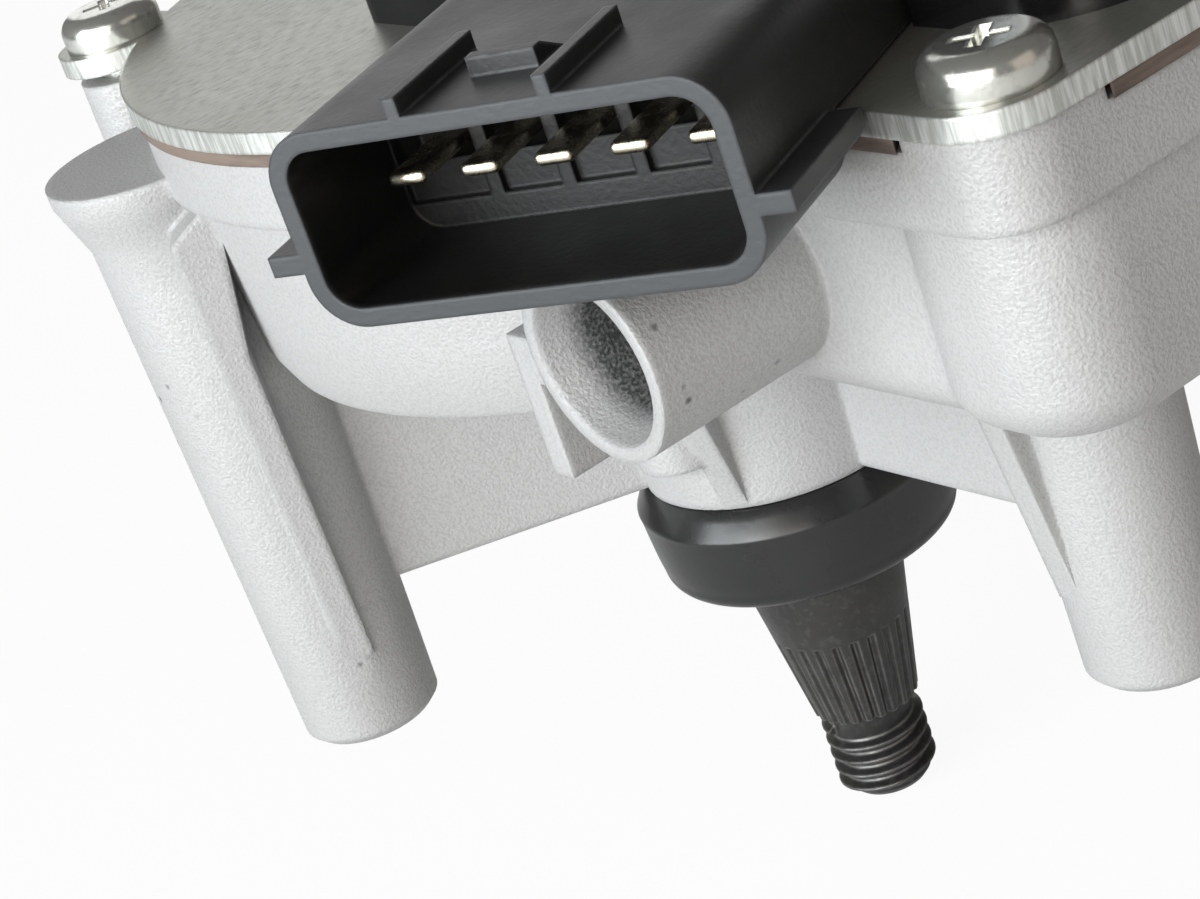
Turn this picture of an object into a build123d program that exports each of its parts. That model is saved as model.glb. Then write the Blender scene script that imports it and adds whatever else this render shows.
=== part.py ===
from build123d import *
import os
from math import acos, atan, cos, degrees, pi, radians, sin, sqrt, tan

# Windscreen wiper motor: a worm gearbox with a permanent-magnet motor on its side.
# Millimetres, +Z up.  The origin lies on the output shaft's axis, in the plane of the three
# mounting feet.  The output shaft points down, and the motor's axis runs along +X.

os.makedirs("parts", exist_ok=True)

# ------------------------------------------------------------------ driving sizes
# gear pair
GEAR_MODULE = 1.0
WHEEL_TEETH = 60
CENTRE_DISTANCE = 36.5  # output axis to worm axis
GEAR_BACKLASH = 0.44  # along the pitch line
PRESSURE_ANGLE = 20.0
ADDENDUM = 0.85
DEDENDUM = 1.25
WORM_TURNS = 8
WHEEL_FACE = 9.0
WORM_Z = 40.0  # height of the worm axis and of the wheel's middle

# mounting feet
FOOT_CIRCLE_R = 36.0
FOOT_COUNT = 3
FOOT_FIRST_ANGLE = 30.0
FOOT_TIP_R = 5.3
FOOT_ROOT_R = 6.4
FOOT_TOP_Z = 47.0
FOOT_TOP_R = 7.8
FOOT_TOP_LIP = 1.2
FOOT_FLARE = 4.0
FOOT_EDGE = 0.6
FOOT_HOLE_R = 2.5  # core hole of an M6 thread
FOOT_HOLE_DEPTH = 16.0

# housing
WALL = 2.4
WHEEL_SPACE = 1.15  # from the wheel's teeth to the bowl's wall
BOWL_DRAFT = 1.2  # the wall's lean over its height
BOWL_BOTTOM_Z = 29.2
BOWL_EDGE = 3.0
FLOOR = 2.8
RIM_BOTTOM_Z = 45.4
RIM_TOP_Z = 50.0
COVER_OVERHANG = 1.7  # beyond the bowl's wall
COVER_LEFT_X = -24.5
COVER_FRONT_Y = -63.7
COVER_BACK_Y = -8.0
COVER_END_X = 37.6
COVER_CORNER = 4.6
RIM_INSET = 0.5  # the casting stands this far inside the cover's edge
BLOCK_INSET_X = 2.5
BLOCK_INSET_Y = 1.2
BLOCK_BOTTOM_Z = 31.6
BLOCK_CORNER = 6.5
BLOCK_EDGE = 3.0
MASS_INSET = 1.5  # thick corner that takes the cover's corner screw
MASS_LENGTH = 14.0
MASS_CORNER = 7.5
WEB_T = 2.6
WEB_BOTTOM_Z = 10.5
RIB_T = 2.2
RIB_TIP_Z = 7.0

# shaft boss
BOSS_TIP_R = 10.7
BOSS_ROOT_R = 11.9
BOSS_BOTTOM_Z = 10.2
SPIGOT_R = 9.3
SPIGOT_BOTTOM_Z = 4.6
BUSH_OUTER_R = 8.0
BUSH_LENGTH = 9.0
PAD_R = 3.4
PAD_ANGLE = 193.6
PAD_INSET = 0.5
PAD_BOTTOM_Z = 14.6
STAY_ANGLE = 211.0
STAY_T = 2.0
STAY_REACH = 6.0

# tube round the end of the worm shaft
TUBE_R = 6.15
TUBE_MOUTH_X = -34.6
TUBE_MOUTH_R = 5.2
TUBE_BORE_R = 3.9
TUBE_FUNNEL = 3.6
FIN_T = 2.0  # fin beside the tube
FIN_SPACE = 2.3
FIN_DROP = 3.4
FIN_INSET = 1.2

# cover, gasket and their screws
COVER_T = 1.5
GASKET_T = 1.0
GASKET_LAND = 3.0
GASKET_CORNER = 21.0
GASKET_NOTCH = 2.0
GASKET_GAP = 0.3
EAR_R = 4.5
EAR_REACH = 2.9  # beyond the cover's round edge
EAR_ANGLES = (50.0, 130.0)
CORNER_SCREWS = ((-19.9, -59.2), (33.0, -59.2))
SCREW_R = 2.0
SCREW_HEAD_R = 3.7
SCREW_HEAD_H = 2.5
SCREW_LENGTH = 10.0
SCREW_CLEARANCE = 0.05
PILLAR_R = 3.7
PILLAR_BOTTOM_Z = 38.0

# output shaft
SHAFT_R = 6.0
SHAFT_TOP_Z = 47.6
CONE_TOP_Z = -2.2
CONE_BOTTOM_Z = -12.9
CONE_SMALL_R = 4.2
FLUTES = 24
FLUTE_DEPTH = 0.35
FLUTE_TOP_Z = -5.4
NECK_R = 3.4
NECK_LENGTH = 0.9
THREAD_R = 4.0  # M8
THREAD_LENGTH = 6.6
THREAD_CHAMFER = 0.7
KNURL_R = 6.35
RUNNING_CLEARANCE = 0.03
WASHER_GAP = 0.1
WASHER_PLAY = 0.02

# rubber cap
CAP_R = 12.1
CAP_LIP_R = 10.9
CAP_CREASE_Z = 8.0
CAP_BOTTOM_Z = 1.8
CAP_BOTTOM_R = 11.2
CAP_FLOOR = 1.6
CAP_BORE_GAP = 0.3

# connector: its own axis is turned about Z, and runs in from the mouth
PLUG_ANGLE = 27.0
PLUG_MOUTH = -57.0
PLUG_BACK = -20.0
PLUG_LOW_BACK = -45.9
PLUG_LEFT = -7.6
PLUG_RIGHT = -35.4
PLUG_BOTTOM_Z = 48.3
PLUG_TOP_Z = 59.8
PLUG_WALL = 1.1
PLUG_CORNER = 3.0
PLUG_SEAT_GAP = 0.2
PLUG_DEPTH = 13.0
PLUG_LOW_DEPTH = 10.0
PLUG_BACK_WALL = 0.6
PLUG_FLANGE = 2.0
PLUG_FLANGE_T = 1.2
PLUG_FLANGE_Z = 51.8
PLUG_SHELF_H = 1.6  # from the socket's floor
PLUG_CHAMBER_EDGE = 3.4  # beyond the outer pins
PLUG_DIVIDER_T = 0.9
PLUG_RIB_T = 0.8
PLUG_RIB_H = 1.1
PLUG_RIB_LENGTH = 9.0
PLUG_RIBS = (-16.6, -25.7)
LATCH_FRONT = -52.6
LATCH_LENGTH = 3.0
LATCH_WIDTH = 4.2
PIN_COUNT = 5
PIN_PITCH = 4.65
PIN_WIDTH = 2.3
PIN_T = 0.8
PIN_TIP = -51.6
PIN_Z = 54.3
PIN_CHAMFER = 0.3
OVERCUT = 0.1  # boxes reach this far into what they meet

# terminal cover on the cover plate
TERMINAL_LEFT_X = -14.6
TERMINAL_FRONT_Y = -60.6
TERMINAL_BACK_Y = -14.0
TERMINAL_H = 13.0
TERMINAL_CORNER = 9.0
TERMINAL_WALL = 2.0
TERMINAL_EDGE = 2.5
ARM_LEFT_X = -19.6  # arm over the wheel
ARM_RIGHT_X = 19.0
ARM_BACK_Y = 4.0
ARM_FRONT_Y = -22.5
ARM_H = 5.0
ARM_CORNER = 3.0

# park contacts: sprung fingers over the wheel's contact ring
CONTACT_RADII = (11.0, 15.0, 19.0)
CONTACT_T = 0.3
CONTACT_WIDTH = 1.8
FINGER_ROOT_X = 13.0
RING_T = 0.6
RING_GAP = 0.3
RING_EDGE = 1.8
RING_NOTCH_WIDTH = 5.0
RING_NOTCH_LENGTH = 5.2
WINDOW_LENGTH = 15.0
WINDOW_EDGE = 2.0
WINDOW_WIDTH = 12.5
WINDOW_Y = -15.0

# motor
FLANGE_X = 38.0
FLANGE_T = 6.0
CAN_R = 28.0
FLANGE_LIP = 2.0  # beyond the can
CAN_WALL = 1.8
CAN_LENGTH = 62.0
CAN_EDGE = 4.0
CAN_STEP = 0.5  # the can's flange stands this far inside the casting's
DOME_R = 10.0
DOME_LENGTH = 9.0
DOME_EDGE = 1.5
MOTOR_HEAD_SPACE = 0.9  # between the can and the screws' heads
EAR_TILT = 30.0
MOTOR_EAR_R = 5.5
MOTOR_SCREW_R = 2.5
MOTOR_SCREW_HEAD_R = 4.6
MOTOR_SCREW_HEAD_H = 3.2
MOTOR_SCREW_LENGTH = 9.0
MAGNET_T = 5.6
MAGNET_LENGTH = 38.0
MAGNET_SPACE = 20.0  # between the two magnets, on each side
AIR_GAP = 0.6

# armature
CORE_LENGTH = 30.0
CORE_SLOTS = 12
CORE_TIP_T = 1.6
SLOT_WIDTH = 4.0
SLOT_MOUTH = 2.2
SLOT_ROOT_R = 8.0
SLOT_LINER = 0.2
HEAD_LENGTH = 5.0
WINDING_GAP = 1.0
MOTOR_SHAFT_R = 4.0
SHOULDER_H = 1.4
JOURNAL_R = 3.0
JOURNAL_LENGTH = 7.0
JOURNAL_BUSH_R = 5.0
JOURNAL_CHAMFER = 0.4
COMMUTATOR_R = 11.0
COMMUTATOR_LENGTH = 12.0
COMMUTATOR_BARS = 12
COMMUTATOR_GAP = 4.0  # from the brush holder's plate
UNDERCUT_DEPTH = 0.6
UNDERCUT_WIDTH = 0.5
RISER_LENGTH = 1.6
RISER_H = 1.4
CORE_GAP = 7.0  # from the commutator

# bearings
BEARING_R = 11.0
BEARING_WIDTH = 6.0
BEARING_BALLS = 7
RACE_T = 2.2
BALL_R = 1.8
BALL_GAP = 0.3
REAR_BUSH_LENGTH = 7.6
REAR_BUSH_EDGE = 1.4
THRUST_DISC_T = 1.0
END_PLAY = 0.1

# brush gear
HOLDER_T = 3.0
HOLDER_INSET = 0.2
HOLDER_HOLE_R = 8.0
BRUSH_ANGLES = (0.0, 180.0, 240.0)  # common, slow and fast
BRUSH_W = 6.0
BRUSH_L = 5.0
BRUSH_H = 8.0
BRUSH_GAP = 0.05
BOX_WALL = 1.2
BOX_GAP = 1.0  # from the commutator
SPRING_R = 1.8
SPRING_WIRE_R = 0.3
SPRING_TURNS = 3
CHOKE_ANGLES = (60.0, 120.0)
CHOKE_CIRCLE_R = 19.0
CHOKE_R = 2.8
CHOKE_LENGTH = 10.0

# ------------------------------------------------------------------ sizes that follow
FULL_TURN = 360.0
HALF_TURN = 180.0
WORM_SIDE_ANGLE = -90.0  # from the output axis towards the worm
WORM_Y = -CENTRE_DISTANCE
WHEEL_PITCH_R = GEAR_MODULE * WHEEL_TEETH / 2
WORM_PITCH_R = CENTRE_DISTANCE - WHEEL_PITCH_R
AXIAL_PITCH = pi * GEAR_MODULE
WHEEL_TIP_R = WHEEL_PITCH_R + ADDENDUM * GEAR_MODULE
WHEEL_ROOT_R = WHEEL_PITCH_R - DEDENDUM * GEAR_MODULE
WORM_TIP_R = WORM_PITCH_R + ADDENDUM * GEAR_MODULE
WORM_ROOT_R = WORM_PITCH_R - DEDENDUM * GEAR_MODULE
TOOTH_T = (AXIAL_PITCH - GEAR_BACKLASH) / 2
BOWL_R = WHEEL_TIP_R + WHEEL_SPACE + WALL
COVER_R = BOWL_R + COVER_OVERHANG
EAR_CIRCLE_R = COVER_R + EAR_REACH
FLANGE_R = CAN_R + FLANGE_LIP
MOTOR_SCREW_CIRCLE_R = CAN_R + MOTOR_SCREW_HEAD_R + MOTOR_HEAD_SPACE
WHEEL_BOTTOM_Z = WORM_Z - WHEEL_FACE / 2
WHEEL_TOP_Z = WORM_Z + WHEEL_FACE / 2
FLOOR_Z = BOWL_BOTTOM_Z + FLOOR
COVER_BOTTOM_Z = RIM_TOP_Z + GASKET_T
COVER_TOP_Z = COVER_BOTTOM_Z + COVER_T
FLANGE_END_X = FLANGE_X + FLANGE_T
CAN_START_X = FLANGE_END_X + HOLDER_T
CAN_END_X = CAN_START_X + CAN_LENGTH
CAN_INNER_R = CAN_R - CAN_WALL
MAGNET_INNER_R = CAN_INNER_R - MAGNET_T
CORE_R = MAGNET_INNER_R - AIR_GAP
BEARING_X = FLANGE_END_X - BEARING_WIDTH
COMMUTATOR_X = CAN_START_X + COMMUTATOR_GAP
COMMUTATOR_END_X = COMMUTATOR_X + COMMUTATOR_LENGTH
RISER_R = COMMUTATOR_R + RISER_H
CORE_X = COMMUTATOR_END_X + CORE_GAP
CORE_END_X = CORE_X + CORE_LENGTH
MAGNET_X = CORE_X - (MAGNET_LENGTH - CORE_LENGTH) / 2
SLOT_DEPTH = CORE_R - CORE_TIP_T - SLOT_ROOT_R
SLOT_MIDDLE_R = SLOT_ROOT_R + SLOT_DEPTH / 2
HEAD_R = CORE_R - CORE_TIP_T
DOME_INNER_R = DOME_R - CAN_WALL
DOME_FACE_X = CAN_END_X + DOME_LENGTH - CAN_WALL
SHAFT_RIGHT_X = DOME_FACE_X - THRUST_DISC_T - END_PLAY
REAR_BUSH_END_X = SHAFT_RIGHT_X - JOURNAL_CHAMFER
REAR_BUSH_X = REAR_BUSH_END_X - REAR_BUSH_LENGTH
BRUSH_X = COMMUTATOR_X + BRUSH_GAP
BRUSH_END_R = COMMUTATOR_R + BRUSH_GAP + BRUSH_H
BOX_INNER_R = COMMUTATOR_R + BOX_GAP
BOX_OUTER_R = CAN_INNER_R - BOX_WALL
SPRING_LENGTH = BOX_OUTER_R - BOX_WALL - BRUSH_END_R - 2 * SPRING_WIRE_R

MOTOR_AXIS = Axis((0, WORM_Y, WORM_Z), (1, 0, 0))
MOTOR = Plane(origin=(0, WORM_Y, WORM_Z), x_dir=(0, 1, 0), z_dir=(1, 0, 0))  # across the axis
MOTOR_SIDE = Plane(origin=(0, WORM_Y, WORM_Z), x_dir=(1, 0, 0), z_dir=(0, -1, 0))  # along it


def polar(radius, angle):
    """Point in plan at a radius and an angle in degrees from the output axis."""
    return (radius * cos(radians(angle)), radius * sin(radians(angle)))


def turned(plane, axis, points, mode=Mode.ADD):
    """Turn the closed outline through the points, drawn on the plane, round the axis."""
    with BuildSketch(plane) as outline:
        with BuildLine():
            Polyline(*points, close=True)
        make_face()
    revolve(outline.sketch, axis=axis, mode=mode)


def turned_z(*points, mode=Mode.ADD):
    """Turned about the output axis, from (radius, height) points."""
    turned(Plane.XZ, Axis.Z, points, mode)


def turned_x(*points, mode=Mode.ADD):
    """Turned about the motor axis, from (x, radius) points."""
    turned(MOTOR_SIDE, MOTOR_AXIS, points, mode)


def cover_outline(inset=0.0, mode=Mode.ADD):
    """Draw the square-cornered half of the gearbox's plan, over the worm."""
    left = COVER_LEFT_X + inset
    front = COVER_FRONT_Y + inset
    with Locations(((left + COVER_END_X) / 2, (front + COVER_BACK_Y) / 2)):
        RectangleRounded(COVER_END_X - left, COVER_BACK_Y - front, COVER_CORNER, mode=mode)


def soft_block(left, end, front, back, low, corner):
    """Block up to the rim's top, with round corners and a soft lower edge."""
    with BuildPart(mode=Mode.PRIVATE) as block:
        with BuildSketch(Plane.XY.offset(low)):
            with Locations(((left + end) / 2, (front + back) / 2)):
                RectangleRounded(end - left, back - front, corner)
        extrude(amount=RIM_TOP_Z - low)
        fillet(block.faces().sort_by(Axis.Z)[0].edges(), BLOCK_EDGE)
    return block.part


MOTOR_EAR_ANGLES = (EAR_TILT, EAR_TILT + HALF_TURN)
MOTOR_SCREWS = [polar(MOTOR_SCREW_CIRCLE_R, angle) for angle in MOTOR_EAR_ANGLES]


def motor_ears(inset):
    """Draw the two ears the motor's screws pass through."""
    for angle, tip in zip(MOTOR_EAR_ANGLES, MOTOR_SCREWS):
        with Locations(Location((0, 0, 0), (0, 0, angle))):
            Rectangle(MOTOR_SCREW_CIRCLE_R, 2 * (MOTOR_EAR_R - inset), align=(Align.MIN, Align.CENTER))
        with Locations(tip):
            Circle(MOTOR_EAR_R - inset)


def motor_screw_holes(start_x, end_x):
    """Cut the holes of the motor's screws between two places along the axis."""
    with BuildSketch(MOTOR.offset(start_x)) as holes:
        with Locations(*MOTOR_SCREWS):
            Circle(MOTOR_SCREW_R + SCREW_CLEARANCE)
    extrude(holes.sketch, amount=end_x - start_x, mode=Mode.SUBTRACT)


ALL_SCREWS = [polar(EAR_CIRCLE_R, a) for a in EAR_ANGLES] + list(CORNER_SCREWS)
EAR_SCREWS = ALL_SCREWS[: len(EAR_ANGLES)]
FOOT_ANGLES = [FOOT_FIRST_ANGLE + FULL_TURN / FOOT_COUNT * i for i in range(FOOT_COUNT)]

# ------------------------------------------------------------------ gear housing
BLOCK_END_X = FLANGE_X + FLANGE_T / 2
BLOCK_LEFT_X = COVER_LEFT_X + BLOCK_INSET_X
BLOCK_FRONT_Y = COVER_FRONT_Y + BLOCK_INSET_Y
MASS_LEFT_X = COVER_LEFT_X + MASS_INSET
MASS_FRONT_Y = BLOCK_FRONT_Y
CORNER_PAD_R = PILLAR_R + GASKET_NOTCH - GASKET_GAP
WORM_CHAMBER_R = WORM_TIP_R + 0.9
WORM_HALF = WORM_TURNS * AXIAL_PITCH / 2
CHAMBER_LEFT_X = -WORM_HALF - 2.0

with BuildPart() as gear_housing:
    # block round the worm, and the thicker corner under the cover's corner screw
    add(soft_block(BLOCK_LEFT_X, BLOCK_END_X, BLOCK_FRONT_Y, COVER_BACK_Y, BLOCK_BOTTOM_Z, BLOCK_CORNER))
    add(soft_block(
        MASS_LEFT_X, MASS_LEFT_X + MASS_LENGTH, MASS_FRONT_Y, MASS_FRONT_Y + MASS_LENGTH,
        BLOCK_BOTTOM_Z, MASS_CORNER - MASS_INSET,
    ))

    # bowl round the wheel
    turned_z(
        (0, BOWL_BOTTOM_Z),
        (BOWL_R - BOWL_DRAFT - BOWL_EDGE, BOWL_BOTTOM_Z),
        (BOWL_R - BOWL_DRAFT - BOWL_EDGE * 0.3, BOWL_BOTTOM_Z + BOWL_EDGE * 0.3),
        (BOWL_R - BOWL_DRAFT, BOWL_BOTTOM_Z + BOWL_EDGE),
        (BOWL_R, RIM_BOTTOM_Z),
        (BOWL_R, RIM_TOP_Z),
        (0, RIM_TOP_Z),
    )

    # rim that carries the gasket and the cover
    with BuildSketch(Plane.XY.offset(RIM_BOTTOM_Z)):
        Circle(COVER_R - RIM_INSET)
        cover_outline(RIM_INSET)
    extrude(amount=RIM_TOP_Z - RIM_BOTTOM_Z)
    with BuildSketch(Plane.XY.offset(PILLAR_BOTTOM_Z)):
        with Locations(*EAR_SCREWS):
            Circle(PILLAR_R)
    extrude(amount=RIM_TOP_Z - PILLAR_BOTTOM_Z)
    # the cover rests on raised corner pads, where the gasket is cut away
    with BuildSketch(Plane.XY.offset(RIM_TOP_Z)):
        with Locations(*CORNER_SCREWS):
            Circle(CORNER_PAD_R)
        cover_outline(RIM_INSET, Mode.INTERSECT)
    extrude(amount=GASKET_T)

    # boss round the output shaft, and the spigot that the rubber cap grips
    turned_z(
        (0, SPIGOT_BOTTOM_Z),
        (SPIGOT_R, SPIGOT_BOTTOM_Z),
        (SPIGOT_R, BOSS_BOTTOM_Z),
        (BOSS_TIP_R, BOSS_BOTTOM_Z),
        (BOSS_ROOT_R, FLOOR_Z),
        (0, FLOOR_Z),
    )

    # tube round the end of the worm shaft
    with BuildSketch(MOTOR.offset(TUBE_MOUTH_X)):
        Circle(TUBE_R)
    extrude(amount=BLOCK_LEFT_X - TUBE_MOUTH_X + 2.0)

    # feet, each joined to the boss by a web
    for angle in FOOT_ANGLES:
        foot = Plane(origin=(*polar(FOOT_CIRCLE_R, angle), 0), x_dir=(*polar(1, angle), 0), z_dir=(0, 0, 1))
        outward = Plane(foot.origin, x_dir=foot.x_dir, z_dir=foot.y_dir * -1)
        turned(
            outward,
            Axis(foot.origin, (0, 0, 1)),
            (
                (0, 0),
                (FOOT_TIP_R - FOOT_EDGE, 0),
                (FOOT_TIP_R, FOOT_EDGE),
                (FOOT_ROOT_R, FOOT_TOP_Z - FOOT_TOP_LIP - FOOT_FLARE),
                (FOOT_TOP_R, FOOT_TOP_Z - FOOT_TOP_LIP),
                (FOOT_TOP_R, FOOT_TOP_Z),
                (0, FOOT_TOP_Z),
            ),
        )
        with BuildSketch(outward):
            with BuildLine():
                Polyline(
                    (-FOOT_CIRCLE_R, WEB_BOTTOM_Z),
                    (0, WEB_BOTTOM_Z),
                    (0, FLOOR_Z),
                    (-FOOT_CIRCLE_R, FLOOR_Z),
                    close=True,
                )
            make_face()
        extrude(amount=WEB_T / 2, both=True)
        # two stiffening ribs run down the foot's flanks
        with BuildSketch(Plane(foot.origin, x_dir=foot.y_dir, z_dir=foot.x_dir)):
            with BuildLine():
                Polyline(
                    (0, RIB_TIP_Z),
                    (FOOT_TIP_R, RIB_TIP_Z),
                    (FOOT_ROOT_R + 3.2, BLOCK_BOTTOM_Z + 2),
                    (-FOOT_ROOT_R - 3.2, BLOCK_BOTTOM_Z + 2),
                    (-FOOT_TIP_R, RIB_TIP_Z),
                    close=True,
                )
            make_face()
        extrude(amount=-RIB_T)

    # pad and stay on the boss, under the tube
    with BuildSketch(Plane.XY.offset(PAD_BOTTOM_Z)):
        with Locations(polar(BOSS_TIP_R - PAD_INSET, PAD_ANGLE)):
            Circle(PAD_R)
    extrude(amount=FLOOR_Z - PAD_BOTTOM_Z)
    stay_plane = Plane((0, 0, 0), x_dir=(*polar(1, STAY_ANGLE), 0), z_dir=(*polar(1, STAY_ANGLE - 90), 0))
    with BuildSketch(stay_plane):
        with BuildLine():
            Polyline(
                (0, BOSS_BOTTOM_Z + 0.4),
                (BOSS_TIP_R, BOSS_BOTTOM_Z + 0.4),
                (BOSS_ROOT_R + STAY_REACH, FLOOR_Z),
                (0, FLOOR_Z),
                close=True,
            )
        make_face()
    extrude(amount=STAY_T / 2, both=True)

    # fin beside the tube; a shelf at the tube's own height joins the two
    fin_near = TUBE_R + FIN_SPACE
    with BuildSketch(MOTOR.offset(TUBE_MOUTH_X + FIN_INSET)):
        with BuildLine():
            Polyline(
                (TUBE_R / 2, 0),
                (fin_near + FIN_T, 0),
                (fin_near + FIN_T, -TUBE_R - FIN_DROP),
                (fin_near, -TUBE_R - FIN_DROP),
                (fin_near, -TUBE_R / 2),
                (TUBE_R / 2, -TUBE_R / 2),
                close=True,
            )
        make_face()
    extrude(amount=BLOCK_LEFT_X - TUBE_MOUTH_X)

    # flange that the motor bolts to
    with BuildSketch(MOTOR.offset(FLANGE_X)):
        Circle(FLANGE_R)
        motor_ears(0)
    extrude(amount=FLANGE_T)
    motor_screw_holes(FLANGE_X, FLANGE_END_X)

    # wheel chamber, worm chamber and the pocket in front of the worm
    with BuildSketch(Plane.XY.offset(FLOOR_Z)):
        Circle(BOWL_R - WALL)
    extrude(amount=RIM_TOP_Z - FLOOR_Z, mode=Mode.SUBTRACT)
    with BuildSketch(MOTOR.offset(CHAMBER_LEFT_X)):
        Circle(WORM_CHAMBER_R)
    extrude(amount=FLANGE_END_X - CHAMBER_LEFT_X, mode=Mode.SUBTRACT)
    pocket_left = BLOCK_LEFT_X + WALL + 0.6
    pocket_front = BLOCK_FRONT_Y + WALL + 0.4
    pocket_back = WORM_Y - WORM_CHAMBER_R - WALL
    pocket_end = FLANGE_X - WALL
    with BuildSketch(Plane.XY.offset(BLOCK_BOTTOM_Z + FLOOR)):
        with Locations(((pocket_left + pocket_end) / 2, (pocket_front + pocket_back) / 2)):
            RectangleRounded(pocket_end - pocket_left, pocket_back - pocket_front, 3.0)
    extrude(amount=RIM_TOP_Z, mode=Mode.SUBTRACT)
    with BuildSketch(Plane.XY.offset(BLOCK_BOTTOM_Z + FLOOR)):
        with Locations(*CORNER_SCREWS):
            Circle(PILLAR_R)
        with Locations(((BLOCK_LEFT_X + BLOCK_END_X) / 2, (BLOCK_FRONT_Y + COVER_BACK_Y) / 2)):
            RectangleRounded(
                BLOCK_END_X - BLOCK_LEFT_X, COVER_BACK_Y - BLOCK_FRONT_Y, BLOCK_CORNER, mode=Mode.INTERSECT,
            )
    extrude(amount=RIM_TOP_Z - BLOCK_BOTTOM_Z - FLOOR)

    # bores: bushes, tube, bearing seat, screws and feet
    with BuildSketch(Plane.XY.offset(SPIGOT_BOTTOM_Z)):
        Circle(BUSH_OUTER_R)
    extrude(amount=FLOOR_Z - SPIGOT_BOTTOM_Z, mode=Mode.SUBTRACT)
    turned_x(
        (TUBE_MOUTH_X, 0),
        (TUBE_MOUTH_X, TUBE_MOUTH_R),
        (TUBE_MOUTH_X + TUBE_FUNNEL, TUBE_BORE_R),
        (CHAMBER_LEFT_X - JOURNAL_LENGTH, TUBE_BORE_R),
        (CHAMBER_LEFT_X - JOURNAL_LENGTH, JOURNAL_BUSH_R),
        (CHAMBER_LEFT_X, JOURNAL_BUSH_R),
        (CHAMBER_LEFT_X, 0),
        mode=Mode.SUBTRACT,
    )
    with BuildSketch(MOTOR.offset(FLANGE_END_X - BEARING_WIDTH)):
        Circle(BEARING_R)
    extrude(amount=BEARING_WIDTH, mode=Mode.SUBTRACT)
    with BuildSketch(Plane.XY.offset(COVER_TOP_Z - SCREW_LENGTH - 1.0)):
        with Locations(*ALL_SCREWS):
            Circle(SCREW_R + SCREW_CLEARANCE)
    extrude(amount=SCREW_LENGTH + 1.0, mode=Mode.SUBTRACT)
    with BuildSketch():
        with PolarLocations(FOOT_CIRCLE_R, FOOT_COUNT, start_angle=FOOT_FIRST_ANGLE):
            Circle(FOOT_HOLE_R)
    extrude(amount=FOOT_HOLE_DEPTH, mode=Mode.SUBTRACT)
gear_housing.part.label = "gear_housing"
export_step(gear_housing.part, "parts/gear_housing.step")

# ------------------------------------------------------------------ bushes and rubber cap
with BuildPart() as shaft_bushes:
    for low in (SPIGOT_BOTTOM_Z + 0.6, FLOOR_Z - BUSH_LENGTH):
        turned_z(
            (SHAFT_R + RUNNING_CLEARANCE, low),
            (BUSH_OUTER_R, low),
            (BUSH_OUTER_R, low + BUSH_LENGTH),
            (SHAFT_R + RUNNING_CLEARANCE, low + BUSH_LENGTH),
        )
shaft_bushes.part.label = "shaft_bushes"
export_step(shaft_bushes.part, "parts/shaft_bushes.step")

with BuildPart() as rubber_cap:
    turned_z(
        (SPIGOT_R, BOSS_BOTTOM_Z),
        (CAP_LIP_R, BOSS_BOTTOM_Z),
        (CAP_R, CAP_CREASE_Z),
        ((CAP_R + CAP_BOTTOM_R) / 2 + 0.2, CAP_BOTTOM_Z + 1.6),
        (CAP_BOTTOM_R - 0.9, CAP_BOTTOM_Z),
        (SHAFT_R + CAP_BORE_GAP, CAP_BOTTOM_Z),
        (SHAFT_R + CAP_BORE_GAP, CAP_BOTTOM_Z + CAP_FLOOR),
        (SPIGOT_R, CAP_BOTTOM_Z + CAP_FLOOR),
    )
rubber_cap.part.label = "rubber_cap"
export_step(rubber_cap.part, "parts/rubber_cap.step")

# ------------------------------------------------------------------ gasket, cover and screws
with BuildPart() as cover_gasket:
    with BuildSketch(Plane.XY.offset(RIM_TOP_Z)):
        Circle(COVER_R - RIM_INSET / 2)
        cover_outline(RIM_INSET / 2)
        Circle(BOWL_R - WALL - 0.2, mode=Mode.SUBTRACT)
        with Locations(*CORNER_SCREWS):
            Circle(PILLAR_R + GASKET_NOTCH, mode=Mode.SUBTRACT)
        cut_front = COVER_FRONT_Y + RIM_INSET + GASKET_LAND
        cut_left = COVER_LEFT_X + RIM_INSET + GASKET_LAND
        cut_end = COVER_END_X - GASKET_LAND
        cut_back = COVER_BACK_Y - GASKET_LAND
        with Locations(((cut_left + cut_end) / 2, (cut_front + cut_back) / 2)):
            RectangleRounded(cut_end - cut_left, cut_back - cut_front, GASKET_CORNER, mode=Mode.SUBTRACT)
    extrude(amount=GASKET_T)
cover_gasket.part.label = "cover_gasket"
export_step(cover_gasket.part, "parts/cover_gasket.step")

with BuildPart() as cover_plate:
    with BuildSketch(Plane.XY.offset(COVER_BOTTOM_Z)):
        Circle(COVER_R)
        cover_outline()
        with Locations(*EAR_SCREWS):
            Circle(EAR_R)
        with Locations(*ALL_SCREWS):
            Circle(SCREW_R + SCREW_CLEARANCE, mode=Mode.SUBTRACT)
        # window for the park contacts
        with Locations((FINGER_ROOT_X - WINDOW_LENGTH / 2 + WINDOW_EDGE, WINDOW_Y)):
            Rectangle(WINDOW_LENGTH, WINDOW_WIDTH, mode=Mode.SUBTRACT)
    extrude(amount=COVER_T)
cover_plate.part.label = "cover_plate"
export_step(cover_plate.part, "parts/cover_plate.step")

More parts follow.
